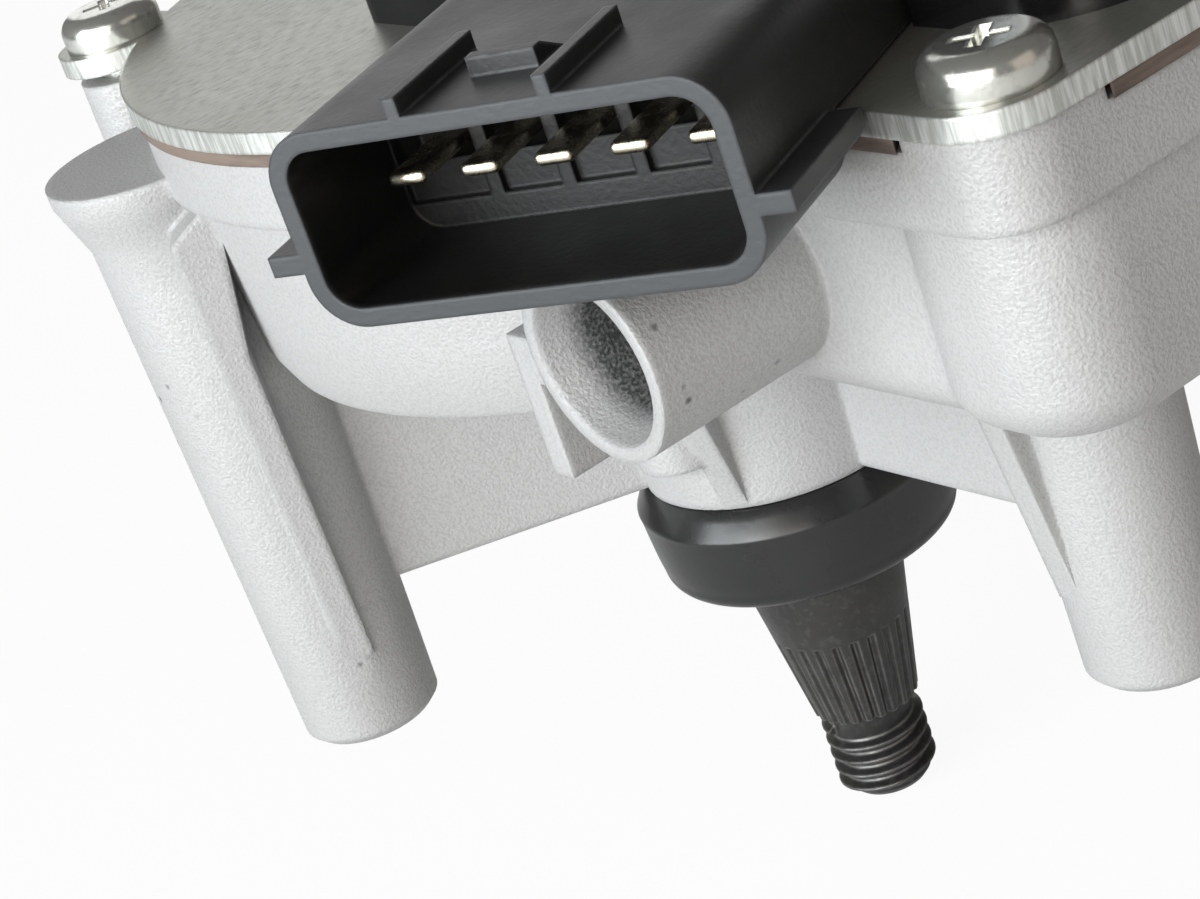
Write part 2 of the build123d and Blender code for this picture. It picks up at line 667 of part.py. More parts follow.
with BuildPart() as cover_screws:
    with BuildSketch(Plane.XY.offset(COVER_TOP_Z)):
        with Locations(*ALL_SCREWS):
            Circle(SCREW_HEAD_R)
    extrude(amount=SCREW_HEAD_H)
    fillet(cover_screws.faces().group_by(Axis.Z)[-1].edges(), SCREW_HEAD_H * 0.55)
    with BuildSketch(Plane.XY.offset(COVER_TOP_Z)):
        with Locations(*ALL_SCREWS):
            Circle(SCREW_R)
    extrude(amount=-SCREW_LENGTH)
cover_screws.part.label = "cover_screws"
export_step(cover_screws.part, "parts/cover_screws.step")

# ------------------------------------------------------------------ connector
# its frame: x runs in from the mouth, y to the left of it and z up
PLUG = Plane(origin=(0, 0, 0), x_dir=(*polar(1, PLUG_ANGLE), 0), z_dir=(0, 0, 1))
PLUG_FACE = Plane(origin=PLUG.from_local_coords((PLUG_MOUTH, 0, 0)), x_dir=PLUG.y_dir, z_dir=PLUG.x_dir)
PLUG_MIDDLE = (PLUG_LEFT + PLUG_RIGHT) / 2
PLUG_WIDTH = PLUG_LEFT - PLUG_RIGHT
PLUG_MIDDLE_Z = (PLUG_BOTTOM_Z + PLUG_TOP_Z) / 2
PLUG_HEIGHT = PLUG_TOP_Z - PLUG_BOTTOM_Z
PLUG_SEAT_Z = COVER_TOP_Z + PLUG_SEAT_GAP
PIN_ROW = [PLUG_MIDDLE + PIN_PITCH * (i - (PIN_COUNT - 1) / 2) for i in range(PIN_COUNT)]


def plug_box(front, back, left, right, low, high, mode=Mode.ADD):
    """Box between two places along the connector, two across it and two heights."""
    with BuildSketch(PLUG.offset(low)) as base:
        with Locations(((front + back) / 2, (left + right) / 2)):
            Rectangle(back - front, abs(left - right))
    extrude(base.sketch, amount=high - low, mode=mode)


with BuildPart() as connector_housing:
    with BuildSketch(PLUG_FACE):
        with Locations((PLUG_MIDDLE, PLUG_MIDDLE_Z)):
            RectangleRounded(PLUG_WIDTH, PLUG_HEIGHT, PLUG_CORNER)
    extrude(amount=PLUG_BACK - PLUG_MOUTH)
    plug_box(
        PLUG_LOW_BACK, PLUG_BACK + 1, PLUG_LEFT + 1, PLUG_RIGHT - 1,
        PLUG_BOTTOM_Z - 1, PLUG_SEAT_Z, Mode.SUBTRACT,
    )
    # side flanges
    plug_box(
        PLUG_MOUTH, PLUG_LOW_BACK - PLUG_WALL, PLUG_LEFT + PLUG_FLANGE, PLUG_RIGHT - PLUG_FLANGE,
        PLUG_FLANGE_Z, PLUG_FLANGE_Z + PLUG_FLANGE_T,
    )
    # two guide ribs with the latch ramp between them
    for rib_y in PLUG_RIBS:
        plug_box(
            PLUG_MOUTH, PLUG_MOUTH + PLUG_RIB_LENGTH, rib_y + PLUG_RIB_T / 2, rib_y - PLUG_RIB_T / 2,
            PLUG_TOP_Z - PLUG_WALL / 2, PLUG_TOP_Z + PLUG_RIB_H,
        )
    latch_origin = PLUG.from_local_coords((0, (PLUG_RIBS[0] + PLUG_RIBS[1]) / 2, 0))
    with BuildSketch(Plane(origin=latch_origin, x_dir=PLUG.x_dir, z_dir=PLUG.y_dir * -1)):
        with BuildLine():
            Polyline(
                (LATCH_FRONT, PLUG_TOP_Z - PLUG_WALL / 2),
                (LATCH_FRONT, PLUG_TOP_Z + PLUG_RIB_H),
                (LATCH_FRONT + 0.8, PLUG_TOP_Z + PLUG_RIB_H),
                (LATCH_FRONT + LATCH_LENGTH, PLUG_TOP_Z),
                (LATCH_FRONT + LATCH_LENGTH, PLUG_TOP_Z - PLUG_WALL / 2),
                close=True,
            )
        make_face()
    extrude(amount=LATCH_WIDTH / 2, both=True)
    # socket: shallow at the bottom, where the shell hangs in front of the gearbox, and deep above
    with BuildSketch(PLUG_FACE):
        with Locations((PLUG_MIDDLE, PLUG_MIDDLE_Z)):
            RectangleRounded(PLUG_WIDTH - 2 * PLUG_WALL, PLUG_HEIGHT - 2 * PLUG_WALL, PLUG_CORNER - PLUG_WALL)
    extrude(amount=PLUG_LOW_DEPTH, mode=Mode.SUBTRACT)
    # chamber behind the socket's back wall: it starts on a shelf and clears the cover further in
    chamber = (PIN_ROW[-1] + PLUG_CHAMBER_EDGE, PIN_ROW[0] - PLUG_CHAMBER_EDGE)
    wall_front = PLUG_MOUTH + PLUG_LOW_DEPTH
    shelf_top = PLUG_BOTTOM_Z + PLUG_WALL + PLUG_SHELF_H
    chamber_top = PLUG_TOP_Z - PLUG_WALL - PLUG_BACK_WALL
    plug_box(
        wall_front - OVERCUT, PLUG_LOW_BACK - PLUG_BACK_WALL, *chamber,
        shelf_top, chamber_top, Mode.SUBTRACT,
    )
    plug_box(
        wall_front - OVERCUT, PLUG_MOUTH + PLUG_DEPTH, *chamber,
        PLUG_SEAT_Z + PLUG_BACK_WALL, chamber_top, Mode.SUBTRACT,
    )
    for left_pin, right_pin in zip(PIN_ROW[:-1], PIN_ROW[1:]):
        middle = (left_pin + right_pin) / 2
        divider = (middle + PLUG_DIVIDER_T / 2, middle - PLUG_DIVIDER_T / 2)
        plug_box(wall_front, PLUG_LOW_BACK - OVERCUT, *divider, shelf_top - OVERCUT, PLUG_TOP_Z - PLUG_WALL)
        plug_box(wall_front, PLUG_MOUTH + PLUG_DEPTH + OVERCUT, *divider, PLUG_SEAT_Z, PLUG_TOP_Z - PLUG_WALL)
    # the pins are moulded in
    for pin_y in PIN_ROW:
        plug_box(
            PLUG_MOUTH + PLUG_DEPTH - OVERCUT, PLUG_BACK, pin_y + PIN_WIDTH / 2, pin_y - PIN_WIDTH / 2,
            PIN_Z - PIN_T / 2, PIN_Z + PIN_T / 2, Mode.SUBTRACT,
        )
connector_housing.part.label = "connector_housing"
export_step(connector_housing.part, "parts/connector_housing.step")

with BuildPart() as connector_pins:
    for pin_y in PIN_ROW:
        plug_box(
            PIN_TIP, PLUG_BACK, pin_y + PIN_WIDTH / 2, pin_y - PIN_WIDTH / 2,
            PIN_Z - PIN_T / 2, PIN_Z + PIN_T / 2,
        )
    tips = [f for f in connector_pins.faces() if abs(PLUG.to_local_coords(f.center()).X - PIN_TIP) < 0.01]
    chamfer([edge for f in tips for edge in f.edges()], PIN_CHAMFER)
connector_pins.part.label = "connector_pins"
export_step(connector_pins.part, "parts/connector_pins.step")

# ------------------------------------------------------------------ terminal cover and park contacts
TERMINAL_BOTTOM_Z = COVER_TOP_Z
with BuildPart() as terminal_cover:
    with BuildSketch(Plane.XY.offset(TERMINAL_BOTTOM_Z)) as terminal_plan:
        with Locations(((TERMINAL_LEFT_X + COVER_END_X) / 2, (TERMINAL_FRONT_Y + TERMINAL_BACK_Y) / 2)):
            RectangleRounded(
                COVER_END_X - TERMINAL_LEFT_X, TERMINAL_BACK_Y - TERMINAL_FRONT_Y, TERMINAL_CORNER,
            )
    extrude(amount=TERMINAL_H)
    fillet(terminal_cover.faces().sort_by(Axis.Z)[-1].edges(), TERMINAL_EDGE)
    # hollow underside
    with BuildSketch(Plane.XY.offset(TERMINAL_BOTTOM_Z)):
        offset(terminal_plan.sketch, amount=-TERMINAL_WALL)
        with Locations(CORNER_SCREWS[1]):
            Circle(SCREW_HEAD_R + 1.0 + TERMINAL_WALL, mode=Mode.SUBTRACT)
    extrude(amount=TERMINAL_H - TERMINAL_WALL, mode=Mode.SUBTRACT)
    with BuildSketch(Plane.XY.offset(TERMINAL_BOTTOM_Z)):
        with Locations(CORNER_SCREWS[1]):
            Circle(SCREW_HEAD_R + 1.0)
    extrude(amount=TERMINAL_H, mode=Mode.SUBTRACT)
    # arm over the wheel that carries the park contacts
    with BuildSketch(Plane.XY.offset(TERMINAL_BOTTOM_Z)):
        with Locations(((ARM_LEFT_X + ARM_RIGHT_X) / 2, (ARM_FRONT_Y + ARM_BACK_Y) / 2)):
            RectangleRounded(ARM_RIGHT_X - ARM_LEFT_X, ARM_BACK_Y - ARM_FRONT_Y, ARM_CORNER)
    extrude(amount=ARM_H)
    # opening for the back of the connector
    plug_box(
        PLUG_LOW_BACK, PLUG_BACK + 0.4, PLUG_LEFT + 0.3, PLUG_RIGHT - 0.3,
        PLUG_BOTTOM_Z, PLUG_TOP_Z + PLUG_SEAT_GAP, Mode.SUBTRACT,
    )
terminal_cover.part.label = "terminal_cover"
export_step(terminal_cover.part, "parts/terminal_cover.step")

RING_TOP_Z = WHEEL_TOP_Z + RING_T
FINGER_LOW_Z = RING_TOP_Z + RING_GAP
FINGER_BEND_Z = COVER_BOTTOM_Z - 0.5
with BuildPart() as park_contacts:
    for radius in CONTACT_RADII:
        with BuildSketch(Plane.XZ.offset(radius)):
            with BuildLine():
                Polyline(
                    (FINGER_ROOT_X, TERMINAL_BOTTOM_Z),
                    (FINGER_ROOT_X - CONTACT_T, TERMINAL_BOTTOM_Z),
                    (FINGER_ROOT_X - CONTACT_T, FINGER_BEND_Z + CONTACT_T),
                    (1.0, FINGER_LOW_Z + CONTACT_T),
                    (-1.0, FINGER_LOW_Z + CONTACT_T),
                    (-1.0, FINGER_LOW_Z),
                    (1.0, FINGER_LOW_Z),
                    (FINGER_ROOT_X, FINGER_BEND_Z),
                    close=True,
                )
            make_face()
        extrude(amount=CONTACT_WIDTH / 2, both=True)
park_contacts.part.label = "park_contacts"
export_step(park_contacts.part, "parts/park_contacts.step")

# ------------------------------------------------------------------ output shaft and worm wheel
WHEEL_BORE_R = KNURL_R
HUB_R = 10.5
HUB_BOTTOM_Z = FLOOR_Z + 0.8
HUB_TOP_Z = WHEEL_TOP_Z + 0.9
WHEEL_WEB_T = 4.0
WHEEL_RIM_T = 3.2
THREAD_TOP_Z = CONE_BOTTOM_Z - NECK_LENGTH
THREAD_END_Z = THREAD_TOP_Z - THREAD_LENGTH
CLIP_Z = SPIGOT_BOTTOM_Z - 1.2
CLIP_T = 1.0
CLIP_GROOVE = 0.5

with BuildPart() as output_shaft:
    turned_z(
        (0, THREAD_END_Z),
        (THREAD_R - THREAD_CHAMFER, THREAD_END_Z),
        (THREAD_R, THREAD_END_Z + THREAD_CHAMFER),
        (THREAD_R, THREAD_TOP_Z - THREAD_CHAMFER),
        (NECK_R, THREAD_TOP_Z),
        (NECK_R, CONE_BOTTOM_Z),
        (CONE_SMALL_R, CONE_BOTTOM_Z),
        (SHAFT_R, CONE_TOP_Z),
        (SHAFT_R, CLIP_Z),
        (SHAFT_R - CLIP_GROOVE, CLIP_Z),
        (SHAFT_R - CLIP_GROOVE, CLIP_Z + CLIP_T),
        (SHAFT_R, CLIP_Z + CLIP_T),
        (SHAFT_R, HUB_BOTTOM_Z),
        (KNURL_R, HUB_BOTTOM_Z),
        (KNURL_R, HUB_TOP_Z),
        (SHAFT_R, HUB_TOP_Z),
        (SHAFT_R, SHAFT_TOP_Z - 0.6),
        (SHAFT_R - 0.6, SHAFT_TOP_Z),
        (0, SHAFT_TOP_Z),
    )
    # flutes down the cone
    flute_lean = degrees(atan((SHAFT_R - CONE_SMALL_R) / (CONE_TOP_Z - CONE_BOTTOM_Z)))
    flute_side = 1.1
    flute_seat = flute_side / sqrt(2) - FLUTE_DEPTH
    flute_low_z = CONE_BOTTOM_Z - NECK_LENGTH / 2
    flute_mid_z = (FLUTE_TOP_Z + flute_low_z) / 2
    flute_mid_r = CONE_SMALL_R + (flute_mid_z - CONE_BOTTOM_Z) * tan(radians(flute_lean))
    with PolarLocations(0, FLUTES):
        with Locations(Location((flute_mid_r + flute_seat, 0, flute_mid_z), (0, flute_lean, 0))):
            Box(flute_side, flute_side, FLUTE_TOP_Z - flute_low_z, rotation=(0, 0, 45), mode=Mode.SUBTRACT)
output_shaft.part.label = "output_shaft"
export_step(output_shaft.part, "parts/output_shaft.step")


def involute(angle):
    """Involute function of an angle in radians."""
    return tan(angle) - angle


def wheel_outline(turn_by):
    """Corner points of the toothed wheel, turned by an angle in degrees."""
    base_r = WHEEL_PITCH_R * cos(radians(PRESSURE_ANGLE))
    half_at_pitch = TOOTH_T / 2 / WHEEL_PITCH_R
    flank = []
    for radius in (WHEEL_ROOT_R, WHEEL_PITCH_R, WHEEL_TIP_R):
        half = half_at_pitch + involute(radians(PRESSURE_ANGLE)) - involute(acos(base_r / radius))
        flank.append((radius, degrees(half)))
    points = []
    for tooth in range(WHEEL_TEETH):
        middle = WORM_SIDE_ANGLE + (tooth + 0.5) * FULL_TURN / WHEEL_TEETH + turn_by
        points += [polar(radius, middle - half) for radius, half in flank]
        points += [polar(radius, middle + half) for radius, half in reversed(flank)]
    return points


# the teeth lean by the worm's lead angle over the wheel's face
WHEEL_TWIST = degrees(GEAR_MODULE / 2 / WORM_PITCH_R / WHEEL_PITCH_R)  # degrees for each millimetre
with BuildPart() as worm_wheel:
    for height in (WHEEL_BOTTOM_Z, WHEEL_TOP_Z):
        with BuildSketch(Plane.XY.offset(height)):
            with BuildLine():
                Polyline(*wheel_outline((height - WORM_Z) * WHEEL_TWIST), close=True)
            make_face()
    loft(ruled=True)
    # dished web on both sides, and the hub
    for height, way in ((WHEEL_BOTTOM_Z, 1), (WHEEL_TOP_Z, -1)):
        with BuildSketch(Plane.XY.offset(height)):
            Circle(WHEEL_ROOT_R - WHEEL_RIM_T)
            Circle(CONTACT_RADII[-1] + RING_EDGE + 0.6 if way < 0 else HUB_R, mode=Mode.SUBTRACT)
        extrude(amount=way * (WHEEL_FACE - WHEEL_WEB_T) / 2, mode=Mode.SUBTRACT)
    with BuildSketch(Plane.XY.offset(HUB_BOTTOM_Z)):
        Circle(HUB_R)
    extrude(amount=WHEEL_BOTTOM_Z - HUB_BOTTOM_Z + 0.2)
    with BuildSketch(Plane.XY.offset(HUB_BOTTOM_Z)):
        Circle(WHEEL_BORE_R)
    extrude(amount=HUB_TOP_Z, mode=Mode.SUBTRACT)
worm_wheel.part.label = "worm_wheel"
export_step(worm_wheel.part, "parts/worm_wheel.step")

with BuildPart() as park_ring:
    # copper track with a gap that tells the parked place
    with BuildSketch(Plane.XY.offset(WHEEL_TOP_Z)):
        Circle(CONTACT_RADII[-1] + RING_EDGE)
        Circle(CONTACT_RADII[0] - RING_EDGE, mode=Mode.SUBTRACT)
        with Locations((0, CONTACT_RADII[-1])):
            Rectangle(RING_NOTCH_WIDTH, RING_NOTCH_LENGTH, mode=Mode.SUBTRACT)
    extrude(amount=RING_T)
park_ring.part.label = "park_ring"
export_step(park_ring.part, "parts/park_ring.step")

with BuildPart() as shaft_clip:
    with BuildSketch(Plane.XY.offset(CLIP_Z)):
        Circle(SHAFT_R + 1.4)
        Circle(SHAFT_R - CLIP_GROOVE, mode=Mode.SUBTRACT)
        with Locations((SHAFT_R, 0)):
            Rectangle(5.0, 3.0, mode=Mode.SUBTRACT)
    extrude(amount=CLIP_T)
shaft_clip.part.label = "shaft_clip"
export_step(shaft_clip.part, "parts/shaft_clip.step")

with BuildPart() as thrust_washers:
    for low, high in ((CLIP_Z + CLIP_T, SPIGOT_BOTTOM_Z + 0.6), (FLOOR_Z, HUB_BOTTOM_Z)):
        turned_z(
            (SHAFT_R + WASHER_GAP, low),
            (BUSH_OUTER_R - 2 * WASHER_GAP, low),
            (BUSH_OUTER_R - 2 * WASHER_GAP, high - WASHER_PLAY),
            (SHAFT_R + WASHER_GAP, high - WASHER_PLAY),
        )
thrust_washers.part.label = "thrust_washers"
export_step(thrust_washers.part, "parts/thrust_washers.step")

# ------------------------------------------------------------------ armature
SHAFT_LEFT_X = CHAMBER_LEFT_X - JOURNAL_LENGTH + JOURNAL_CHAMFER

with BuildPart() as armature_shaft:
    turned_x(
        (SHAFT_LEFT_X, 0),
        (SHAFT_LEFT_X, JOURNAL_R - JOURNAL_CHAMFER),
        (SHAFT_LEFT_X + JOURNAL_CHAMFER, JOURNAL_R),
        (CHAMBER_LEFT_X + 0.6, JOURNAL_R),
        (CHAMBER_LEFT_X + 1.2, WORM_ROOT_R),
        (WORM_HALF + 1.0, WORM_ROOT_R),
        (WORM_HALF + 3.0, MOTOR_SHAFT_R + SHOULDER_H),
        (BEARING_X, MOTOR_SHAFT_R + SHOULDER_H),
        (BEARING_X, MOTOR_SHAFT_R),
        (REAR_BUSH_X - JOURNAL_CHAMFER, MOTOR_SHAFT_R),
        (REAR_BUSH_X - JOURNAL_CHAMFER, JOURNAL_R),
        (SHAFT_RIGHT_X - JOURNAL_CHAMFER, JOURNAL_R),
        (SHAFT_RIGHT_X, JOURNAL_R - JOURNAL_CHAMFER),
        (SHAFT_RIGHT_X, 0),
    )
    # worm thread; a crest faces the wheel's nearest gap
    thread = Helix(
        pitch=AXIAL_PITCH, height=AXIAL_PITCH * WORM_TURNS, radius=WORM_ROOT_R,
        center=(0, 0, 0), direction=(0, 0, 1),
    )
    lean = tan(radians(PRESSURE_ANGLE))
    half_root = TOOTH_T / 2 + (WORM_PITCH_R - WORM_ROOT_R + 0.3) * lean
    half_tip = TOOTH_T / 2 - (WORM_TIP_R - WORM_PITCH_R) * lean
    with BuildSketch(Plane.XZ, mode=Mode.PRIVATE) as tooth:
        with BuildLine():
            Polyline(
                (WORM_ROOT_R - 0.3, -half_root),
                (WORM_TIP_R, -half_tip),
                (WORM_TIP_R, half_tip),
                (WORM_ROOT_R - 0.3, half_root),
                close=True,
            )
        make_face()
    worm_thread = sweep(tooth.sketch, path=thread, is_frenet=True, mode=Mode.PRIVATE)
    worm_start = Plane(origin=(-WORM_HALF, WORM_Y, WORM_Z), x_dir=(0, 1, 0), z_dir=(1, 0, 0))
    add(worm_start.location * worm_thread)
armature_shaft.part.label = "armature_shaft"
export_step(armature_shaft.part, "parts/armature_shaft.step")

with BuildPart() as rotor_core:
    with BuildSketch(MOTOR.offset(CORE_X)):
        Circle(CORE_R)
        Circle(MOTOR_SHAFT_R, mode=Mode.SUBTRACT)
        with PolarLocations(0, CORE_SLOTS):
            with Locations((SLOT_MIDDLE_R, 0)):
                SlotOverall(SLOT_DEPTH, SLOT_WIDTH, mode=Mode.SUBTRACT)
            with Locations((CORE_R, 0)):
                Rectangle(2 * CORE_TIP_T + SLOT_WIDTH, SLOT_MOUTH, mode=Mode.SUBTRACT)
    extrude(amount=CORE_LENGTH)
rotor_core.part.label = "rotor_core"
export_step(rotor_core.part, "parts/rotor_core.step")

with BuildPart() as rotor_windings:
    # end turns on both faces of the core, joined by the wires in its slots
    for face_x, way in ((CORE_X, -1), (CORE_END_X, 1)):
        turned_x(
            (face_x, MOTOR_SHAFT_R + WINDING_GAP),
            (face_x, HEAD_R),
            (face_x + way * HEAD_LENGTH / 2, HEAD_R),
            (face_x + way * HEAD_LENGTH, HEAD_R - HEAD_LENGTH / 2),
            (face_x + way * HEAD_LENGTH, MOTOR_SHAFT_R + WINDING_GAP),
        )
    with BuildSketch(MOTOR.offset(CORE_X)):
        with PolarLocations(0, CORE_SLOTS):
            with Locations((SLOT_MIDDLE_R, 0)):
                SlotOverall(SLOT_DEPTH - 2 * SLOT_LINER, SLOT_WIDTH - 2 * SLOT_LINER)
    extrude(amount=CORE_LENGTH)
rotor_windings.part.label = "rotor_windings"
export_step(rotor_windings.part, "parts/rotor_windings.step")

with BuildPart() as commutator:
    turned_x(
        (COMMUTATOR_X, MOTOR_SHAFT_R),
        (COMMUTATOR_X, COMMUTATOR_R),
        (COMMUTATOR_END_X - RISER_LENGTH, COMMUTATOR_R),
        (COMMUTATOR_END_X - RISER_LENGTH, RISER_R),
        (COMMUTATOR_END_X, RISER_R),
        (COMMUTATOR_END_X, MOTOR_SHAFT_R),
    )
    with BuildSketch(MOTOR.offset(COMMUTATOR_X)):
        with PolarLocations(COMMUTATOR_R, COMMUTATOR_BARS):
            Rectangle(2 * UNDERCUT_DEPTH, UNDERCUT_WIDTH)
    extrude(amount=COMMUTATOR_LENGTH - RISER_LENGTH, mode=Mode.SUBTRACT)
commutator.part.label = "commutator"
export_step(commutator.part, "parts/commutator.step")

# ------------------------------------------------------------------ bearings of the armature
BALL_CIRCLE_R = (BEARING_R + MOTOR_SHAFT_R) / 2
BEARING_MIDDLE_X = BEARING_X + BEARING_WIDTH / 2


def bearing_ring(inner_r, outer_r):
    """One ring of the ball bearing, with its groove."""
    turned_x((BEARING_X, inner_r), (BEARING_X, outer_r), (FLANGE_END_X, outer_r), (FLANGE_END_X, inner_r))
    with BuildSketch(MOTOR_SIDE) as groove:
        with Locations((BEARING_MIDDLE_X, BALL_CIRCLE_R)):
            Circle(BALL_R + BALL_GAP)
    revolve(groove.sketch, axis=MOTOR_AXIS, mode=Mode.SUBTRACT)


with BuildPart() as bearing_outer_ring:
    bearing_ring(BEARING_R - RACE_T, BEARING_R)
bearing_outer_ring.part.label = "bearing_outer_ring"
export_step(bearing_outer_ring.part, "parts/bearing_outer_ring.step")

with BuildPart() as bearing_inner_ring:
    bearing_ring(MOTOR_SHAFT_R, MOTOR_SHAFT_R + RACE_T)
bearing_inner_ring.part.label = "bearing_inner_ring"
export_step(bearing_inner_ring.part, "parts/bearing_inner_ring.step")

with BuildPart() as bearing_balls:
    with Locations(MOTOR.offset(BEARING_MIDDLE_X)):
        with PolarLocations(BALL_CIRCLE_R, BEARING_BALLS):
            Sphere(BALL_R)
bearing_balls.part.label = "bearing_balls"
export_step(bearing_balls.part, "parts/bearing_balls.step")

with BuildPart() as worm_end_bush:
    turned_x(
        (CHAMBER_LEFT_X - JOURNAL_LENGTH, JOURNAL_R + RUNNING_CLEARANCE),
        (CHAMBER_LEFT_X - JOURNAL_LENGTH, JOURNAL_BUSH_R),
        (CHAMBER_LEFT_X, JOURNAL_BUSH_R),
        (CHAMBER_LEFT_X, JOURNAL_R + RUNNING_CLEARANCE),
    )
worm_end_bush.part.label = "worm_end_bush"
export_step(worm_end_bush.part, "parts/worm_end_bush.step")

with BuildPart() as rear_bush:
    turned_x(
        (REAR_BUSH_X, JOURNAL_R + RUNNING_CLEARANCE),
        (REAR_BUSH_X, DOME_INNER_R - REAR_BUSH_EDGE),
        (REAR_BUSH_X + REAR_BUSH_EDGE, DOME_INNER_R),
        (REAR_BUSH_END_X - REAR_BUSH_EDGE, DOME_INNER_R),
        (REAR_BUSH_END_X, DOME_INNER_R - REAR_BUSH_EDGE),
        (REAR_BUSH_END_X, JOURNAL_R + RUNNING_CLEARANCE),
    )
rear_bush.part.label = "rear_bush"
export_step(rear_bush.part, "parts/rear_bush.step")

with BuildPart() as thrust_disc:
    # takes the worm's end thrust against the dome
    with BuildSketch(MOTOR.offset(DOME_FACE_X)):
        Circle(DOME_INNER_R - REAR_BUSH_EDGE)
    extrude(amount=-THRUST_DISC_T)
thrust_disc.part.label = "thrust_disc"
export_step(thrust_disc.part, "parts/thrust_disc.step")

# ------------------------------------------------------------------ motor can and brush gear
with BuildPart() as motor_can:
    # deep-drawn yoke: flange, round body and the bearing dome in its closed end
    turned_x(
        (CAN_START_X, CAN_INNER_R),
        (CAN_START_X, FLANGE_R - CAN_STEP),
        (CAN_START_X + CAN_WALL, FLANGE_R - CAN_STEP),
        (CAN_START_X + CAN_WALL, CAN_R),
        (CAN_END_X - CAN_EDGE, CAN_R),
        (CAN_END_X - CAN_EDGE * 0.3, CAN_R - CAN_EDGE * 0.3),
        (CAN_END_X, CAN_R - CAN_EDGE),
        (CAN_END_X, DOME_R + DOME_EDGE),
        (CAN_END_X + DOME_EDGE, DOME_R),
        (CAN_END_X + DOME_LENGTH - DOME_EDGE, DOME_R),
        (CAN_END_X + DOME_LENGTH, DOME_R - DOME_EDGE),
        (CAN_END_X + DOME_LENGTH, 0),
        (DOME_FACE_X, 0),
        (DOME_FACE_X, DOME_INNER_R),
        (CAN_END_X - CAN_WALL, DOME_INNER_R),
        (CAN_END_X - CAN_WALL, CAN_R - CAN_EDGE),
        (CAN_END_X - CAN_EDGE, CAN_INNER_R),
    )
    with BuildSketch(MOTOR.offset(CAN_START_X)):
        motor_ears(0)
        Circle(CAN_INNER_R, mode=Mode.SUBTRACT)
    extrude(amount=CAN_WALL)
    motor_screw_holes(CAN_START_X, CAN_START_X + CAN_WALL)
motor_can.part.label = "motor_can"
export_step(motor_can.part, "parts/motor_can.step")

with BuildPart() as magnets:
    with BuildSketch(MOTOR.offset(MAGNET_X)):
        Circle(CAN_INNER_R)
        Circle(MAGNET_INNER_R, mode=Mode.SUBTRACT)
        # the gaps between the two arcs
        for way in (-1, 1):
            with Locations((way * CAN_R, 0)):
                Rectangle(2 * CAN_R, MAGNET_SPACE, mode=Mode.SUBTRACT)
    extrude(amount=MAGNET_LENGTH)
magnets.part.label = "magnets"
export_step(magnets.part, "parts/magnets.step")

with BuildPart() as brush_holder:
    # moulded plate clamped under the can's flange, with a box for each brush
    with BuildSketch(MOTOR.offset(FLANGE_END_X)):
        Circle(FLANGE_R - HOLDER_INSET)
        motor_ears(HOLDER_INSET)
        Circle(HOLDER_HOLE_R, mode=Mode.SUBTRACT)
    extrude(amount=HOLDER_T)
    motor_screw_holes(FLANGE_END_X, CAN_START_X)
    with BuildSketch(MOTOR.offset(CAN_START_X)):
        for angle in BRUSH_ANGLES:
            with Locations(Location((0, 0, 0), (0, 0, angle))):
                with Locations((BOX_INNER_R, 0)):
                    Rectangle(
                        BOX_OUTER_R - BOX_INNER_R, BRUSH_W + 2 * BOX_WALL, align=(Align.MIN, Align.CENTER),
                    )
    extrude(amount=BRUSH_X - CAN_START_X + BRUSH_L + BOX_WALL)
    with BuildSketch(MOTOR.offset(BRUSH_X - BRUSH_GAP)):
        for angle in BRUSH_ANGLES:
            with Locations(Location((0, 0, 0), (0, 0, angle))):
                with Locations((BOX_INNER_R - BOX_WALL, 0)):
                    Rectangle(
                        BOX_OUTER_R - BOX_INNER_R, BRUSH_W + 2 * BRUSH_GAP, align=(Align.MIN, Align.CENTER),
                    )
    extrude(amount=BRUSH_L + 2 * BRUSH_GAP, mode=Mode.SUBTRACT)
brush_holder.part.label = "brush_holder"
export_step(brush_holder.part, "parts/brush_holder.step")

with BuildPart() as brushes:
    with BuildSketch(MOTOR.offset(BRUSH_X)):
        for angle in BRUSH_ANGLES:
            with Locations(Location((0, 0, 0), (0, 0, angle))):
                Rectangle(BRUSH_END_R, BRUSH_W, align=(Align.MIN, Align.CENTER))
        Circle(COMMUTATOR_R + BRUSH_GAP, mode=Mode.SUBTRACT)
    extrude(amount=BRUSH_L)
brushes.part.label = "brushes"
export_step(brushes.part, "parts/brushes.step")

with BuildPart() as brush_springs:
    for angle in BRUSH_ANGLES:
        outward = Vector(0, *polar(1, angle))
        seat = Vector(BRUSH_X + BRUSH_L / 2, WORM_Y, WORM_Z) + outward * (BRUSH_END_R + SPRING_WIRE_R)
        coil = Helix(
            pitch=SPRING_LENGTH / SPRING_TURNS, height=SPRING_LENGTH, radius=SPRING_R,
            center=tuple(seat), direction=tuple(outward), mode=Mode.PRIVATE,
        )
        with BuildSketch(Plane(origin=coil @ 0, z_dir=coil % 0)):
            RegularPolygon(SPRING_WIRE_R, 5)
        sweep(path=coil, is_frenet=True)
brush_springs.part.label = "brush_springs"
export_step(brush_springs.part, "parts/brush_springs.step")

with BuildPart() as choke_coils:
    # suppressor chokes on the holder, between the brush boxes
    with BuildSketch(MOTOR.offset(CAN_START_X)):
        for angle in CHOKE_ANGLES:
            with Locations(polar(CHOKE_CIRCLE_R, angle)):
                Circle(CHOKE_R)
    extrude(amount=CHOKE_LENGTH)
choke_coils.part.label = "choke_coils"
export_step(choke_coils.part, "parts/choke_coils.step")

